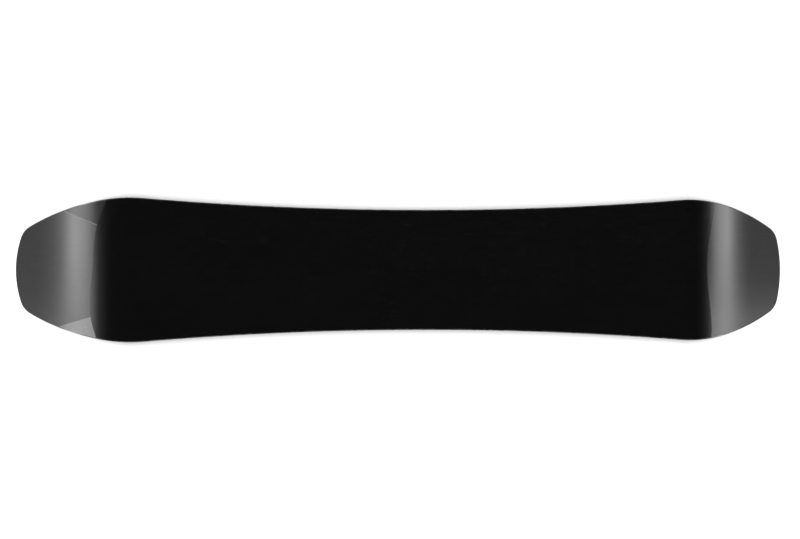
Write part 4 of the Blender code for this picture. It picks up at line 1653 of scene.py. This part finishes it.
@dataclass(frozen=True)
class InsertPacks:
    """The steel tee nuts in two packs of two rows, each with an M6 thread."""

    row_spacing: float = 0.040
    pitch: float = 0.020
    per_row: int = 6
    flange_radius: float = 0.0075
    flange_low: float = 0.00275
    flange_high: float = 0.00375
    barrel_radius: float = 0.0043
    head: float = 0.0103
    bore_radius: float = 0.0025
    thread_depth: float = 0.00045
    thread_pitch: float = 0.0010
    bore_depth: float = 0.0060
    hole_radius: float = 0.00440
    broken: float = 0.00015
    sides: int = 32
    steps_per_turn: int = 8
    runout_steps: int = 6

    def build(self) -> None:
        """Turn one nut and set it at each place."""
        mesh = self.nut()
        for name, u, y in self.places():
            piece = add_object(f"tee_nut_{name}", mesh)
            foot, head = MOULD.place(u, y, 0.0), MOULD.place(u, y, BLANK.topsheet_high)
            lean = math.atan2(head.x - foot.x, head.z - foot.z)
            piece.matrix_world = Matrix.Translation(foot) @ Matrix.Rotation(lean, 4, "Y")
            settle(piece, f"insert_{name}", NUT_STEEL)

    def places(self) -> Iterable[tuple[str, float, float]]:
        """The nuts' places.

        Returns:
            The name, u and y of each nut in turn.
        """
        for pack, seat in zip(("front", "rear"), BLANK.seats):
            for hand in Hand:
                for column in range(self.per_row):
                    u = seat + (column - (self.per_row - 1) / 2) * self.pitch
                    yield f"{pack}_{hand.name.lower()}_{column + 1}", u, hand.value * self.row_spacing / 2

    def holes(self, low: float, high: float) -> list[list[Ring]]:
        """A round hole over each nut, for stack()."""
        loops = [ring_points((u, y), self.hole_radius, self.sides) for _, u, y in self.places()]
        return [[(loop, low), (loop, high)] for loop in loops]

    def nut(self) -> bpy.types.Mesh:
        """The turned body, drawn from the flange's underside up, over the head and down the thread.

        Returns:
            The mesh that all nuts share.
        """
        broken = self.broken
        profile = [
            (self.flange_radius - broken, self.flange_low),
            (self.flange_radius, self.flange_low + broken),
            (self.flange_radius, self.flange_high - broken),
            (self.flange_radius - broken, self.flange_high),
            (self.barrel_radius + broken, self.flange_high),
            (self.barrel_radius, self.flange_high + broken),
            (self.barrel_radius, self.head - broken),
            (self.barrel_radius - broken, self.head),
            (self.bore_radius + self.thread_depth + broken, self.head),
            (self.bore_radius, self.head - self.thread_depth - broken),
        ]
        work = bmesh.new()
        rows = [[work.verts.new((*point, h)) for point in ring_points((0.0, 0.0), radius, self.sides)]
                for radius, h in profile]
        top = profile[-1][1]
        depth = top - self.head + self.bore_depth
        steps = math.ceil(depth / self.thread_pitch * self.steps_per_turn)
        for step in range(1, steps + 1):
            h = top - depth * step / steps
            fade = min(1.0, step / self.runout_steps, (steps - step) / self.runout_steps)
            row = []
            for index in range(self.sides):
                turn = 2 * math.pi * index / self.sides
                phase = (h / self.thread_pitch + index / self.sides) % 1.0
                radius = self.bore_radius + self.thread_depth * fade * (1 - abs(2 * phase - 1))
                row.append(work.verts.new((radius * math.cos(turn), radius * math.sin(turn), h)))
            rows.append(row)
        for row, after in zip(rows, rows[1:]):
            for index in range(self.sides):
                beside = (index + 1) % self.sides
                work.faces.new((row[index], row[beside], after[beside], after[index]))
        work.faces.new(rows[0][::-1])
        work.faces.new(rows[-1])
        return to_mesh("tee_nut", work)


INSERTS = InsertPacks()


@dataclass(frozen=True)
class Core:
    """The core's strips and mats keep their CAD shape, in wood and in glass mat."""

    strips: int = 11

    def build(self) -> None:
        """Recoat the strips, beech and poplar in turn, and both mats."""
        coats = {"insert_mat_front": MAT_CLOTH, "insert_mat_rear": MAT_CLOTH}
        for index in range(self.strips):
            coats[f"core_strip_{index + 1:02d}"] = POPLAR if index % 2 else BEECH
        for node, finish in coats.items():
            finish.recoat(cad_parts[node])
            log.info("%s keeps its shape in %s", node, finish.name)


# The studio.


@dataclass(frozen=True)
class Lamp:
    """A soft lamp a long way off: where it shines from, its width across the sky, and its strength."""

    name: str
    source: tuple[float, float, float]
    width: float
    strength: float

    DISTANCE = 3.0

    def build(self) -> bpy.types.Object:
        """Hang the lamp.

        Returns:
            The lamp's object.
        """
        light = bpy.data.lights.new(self.name, "SUN")
        light.angle = math.radians(self.width)
        light.energy = self.strength
        item = add_object(self.name, light)
        item.rotation_euler = Vector(self.source).to_track_quat("Z", "Y").to_euler()
        item.location = Vector(self.source).normalized() * self.DISTANCE
        return item


@dataclass(frozen=True)
class Sky:
    """The light all round, as soft boxes in the world: one past each tip, one on each side, a pale ceiling.

    Falloff holds the brightness of a tip's soft box at degrees from straight down towards that tip.
    """

    falloff: tuple[Point, ...] = (
        (0.0, 0.003), (5.0, 0.010), (10.4, 0.06), (13.9, 0.46), (17.6, 0.77), (25.0, 1.10), (28.0, 0.68),
        (32.0, 0.30), (38.0, 0.11), (48.0, 0.035),
    )
    reach: float = 60.0
    box_strength: float = 6.9
    tail_turn: float = 3.3
    tail_share: float = 0.95
    box_height: Span = (0.11, 0.19)
    side_strength: float = 2.6
    side_height: Span = (0.45, 0.80)
    ceiling: float = 0.62
    ground: float = 0.015
    horizon: float = -0.05

    def build(self) -> None:
        """Paint the world."""
        world = bpy.data.worlds.new("studio")
        bpy.context.scene.world = world
        world.use_nodes = True
        graph = Graph(world.node_tree)
        parts = graph.add("SeparateXYZ", {0: graph.add("TexCoord").outputs["Generated"]})
        below = graph.ranged(parts.outputs["Z"], self.horizon, 0.0, 1.0, 0.0)
        lower = graph.plus(self.boxes(graph, parts), self.sides(graph, parts))
        lower = graph.times(graph.plus(lower, self.ground), below)
        path = graph.add("LightPath")
        mirrored = graph.math("MAXIMUM", path.outputs["Is Glossy Ray"], path.outputs["Is Transmission Ray"])
        upper = graph.math("MULTIPLY_ADD", mirrored, 1.0 - self.ceiling, self.ceiling)
        upper = graph.times(upper, graph.math("SUBTRACT", 1.0, below))
        glow = graph.plus(lower, upper)
        seen = path.outputs["Is Camera Ray"]
        glow = graph.math("MULTIPLY_ADD", glow, graph.math("SUBTRACT", 1.0, seen), seen)
        graph.tree.links.new(glow, graph.tree.nodes["Background"].inputs["Strength"])
        graph.tree.nodes["Background"].inputs["Color"].default_value = grey(1.0)

    def boxes(self, graph: Graph, parts: Node) -> Socket:
        """The soft boxes past the nose and past the tail.

        Args:
            graph: the world's graph.
            parts: the node that separates the direction.

        Returns:
            Their brightness.
        """
        x, y = parts.outputs["X"], graph.math("ABSOLUTE", parts.outputs["Y"])
        down = graph.times(parts.outputs["Z"], -1.0)
        angle = graph.math("ARCTAN2", graph.math("ABSOLUTE", x), down)
        tail = graph.math("GREATER_THAN", x, 0.0)
        shifted = graph.math("SUBTRACT", angle, graph.times(tail, math.radians(self.tail_turn)))
        place = graph.ranged(shifted, 0.0, math.radians(self.reach))
        ramp = graph.add("ValToRGB", {"Fac": place})
        stops = ramp.color_ramp.elements
        for (degrees, level), stop in zip((self.falloff[0], self.falloff[-1]), stops):
            stop.position, stop.color = degrees / self.reach, grey(level)
        for degrees, level in self.falloff[1:-1]:
            stops.new(degrees / self.reach).color = grey(level)
        window = graph.ranged(y, *self.box_height, self.box_strength, 0.0)
        share = graph.math("MULTIPLY_ADD", tail, self.tail_share - 1.0, 1.0)
        return graph.times(graph.times(ramp.outputs["Color"], window), share)

    def sides(self, graph: Graph, parts: Node) -> Socket:
        """The brightness of the long soft boxes on both sides."""
        y = graph.math("ABSOLUTE", parts.outputs["Y"])
        return graph.ranged(y, *self.side_height, 0.0, self.side_strength)


@dataclass(frozen=True)
class Studio:
    """The camera straight below the board, the lamps, and the pale floor and backdrop.

    The backdrop glows past both kicks, so the board's shadow on it fades there, from one x to the other.
    """

    distance: float = 24.0
    view_width: float = 1.668
    view_height: float = 0.045
    sensor_width: float = 36.0
    clip_end: float = 400.0
    centre: Point = (0.0043, -0.0008)
    floor_height: float = -0.0002
    backdrop_height: float = 0.0572
    screen_size: float = 160.0
    backdrop_tone: float = 0.22
    backdrop_glow: float = 0.28
    nose_fade: Span = (-0.565, -0.655)
    tail_fade: Span = (0.605, 0.685)
    floor_tone: float = 0.80
    floor_glow: float = 0.22
    sky: Sky = Sky()
    lamps: tuple[Lamp, ...] = (
        Lamp("top_key", (-0.5, -0.8, 1.6), 12.0, 1.3),
        Lamp("top_fill", (0.9, 0.7, 1.1), 30.0, 0.5),
    )
    backdrop_lamp: Lamp = Lamp("backdrop_lamp", (0.0, 0.0, -1.0), 23.0, 12.4)

    def build(self) -> None:
        """Set up the studio."""
        self.camera()
        self.sky.build()
        for lamp in self.lamps:
            lamp.build()
        self.screen("floor", self.floor_height, self.floor_tone, self.floor_glow, from_below=False)
        backdrop = self.screen("backdrop", self.backdrop_height, self.backdrop_tone, 0.0, from_below=True)
        self.glow_ends(backdrop)
        lit = bpy.data.collections.new("backdrop_only")
        lit.objects.link(backdrop)
        self.backdrop_lamp.build().light_linking.receiver_collection = lit
        bpy.context.scene.view_settings.view_transform = "Standard"

    def camera(self) -> None:
        """Look straight up at the running base, with the nose at the left."""
        data = bpy.data.cameras.new("camera")
        data.sensor_width = self.sensor_width
        data.lens = self.sensor_width * (self.distance + self.view_height) / self.view_width
        data.clip_end = self.clip_end
        item = add_object("camera", data)
        item.location = (*self.centre, -self.distance)
        item.rotation_euler = (math.pi, 0.0, 0.0)
        bpy.context.scene.camera = item

    def glow_ends(self, backdrop: bpy.types.Object) -> None:
        """Let the backdrop glow past both kicks.

        Args:
            backdrop: the screen, whose paint has one Emission node.
        """
        graph = Graph(backdrop.active_material.node_tree)
        x = graph.axis("X")
        nose = graph.ranged(x, self.nose_fade[1], self.nose_fade[0], self.backdrop_glow, 0.0)
        tail = graph.ranged(x, *self.tail_fade, 0.0, self.backdrop_glow)
        light = next(node for node in graph.tree.nodes if node.type == "EMISSION")
        graph.tree.links.new(graph.plus(nose, tail), light.inputs["Strength"])

    def screen(self, name: str, height: float, tone: float, glow: float,
               from_below: bool) -> bpy.types.Object:
        """Stretch a pale screen that takes the shadow. Only the camera sees it, and only from one side.

        Args:
            name: the screen's name.
            height: its height.
            tone: its colour.
            glow: the light that it gives off.
            from_below: whether it shows from below or from above.

        Returns:
            The screen.
        """
        work = bmesh.new()
        bmesh.ops.create_grid(work, x_segments=1, y_segments=1, size=self.screen_size / 2,
                              matrix=Matrix.Translation((0.0, 0.0, height)))
        mesh = bpy.data.meshes.new(name)
        work.to_mesh(mesh)
        work.free()
        item = add_object(name, mesh)
        material = bpy.data.materials.new(f"{name}_paint")
        material.use_nodes = True
        graph = Graph(material.node_tree)
        graph.tree.nodes.clear()
        back = graph.add("NewGeometry").outputs["Backfacing"]
        side = back if from_below else graph.math("SUBTRACT", 1.0, back)
        shown = graph.times(side, graph.add("LightPath").outputs["Is Camera Ray"])
        paint = graph.add("BsdfDiffuse", {"Color": grey(tone)})
        light = graph.add("Emission", {"Color": grey(1.0), "Strength": glow})
        both = graph.add("AddShader", {0: paint.outputs[0], 1: light.outputs[0]})
        clear = graph.add("BsdfTransparent")
        mixed = graph.add("MixShader", {0: shown, 1: clear.outputs[0], 2: both.outputs[0]})
        out = graph.add("OutputMaterial", {"Surface": mixed.outputs[0]})
        out.is_active_output = True
        mesh.materials.append(material)
        return item


def main() -> None:
    """Build the studio and the board."""
    logging.basicConfig(level=logging.INFO, format="%(name)s: %(message)s")
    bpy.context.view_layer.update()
    Studio().build()
    for assembly in (BaseSheet(), SteelEdges(), Laminate(), Perimeter(), TopFilm(), INSERTS, Core()):
        assembly.build()
    bpy.context.view_layer.update()


if __name__ == "__main__":
    main()
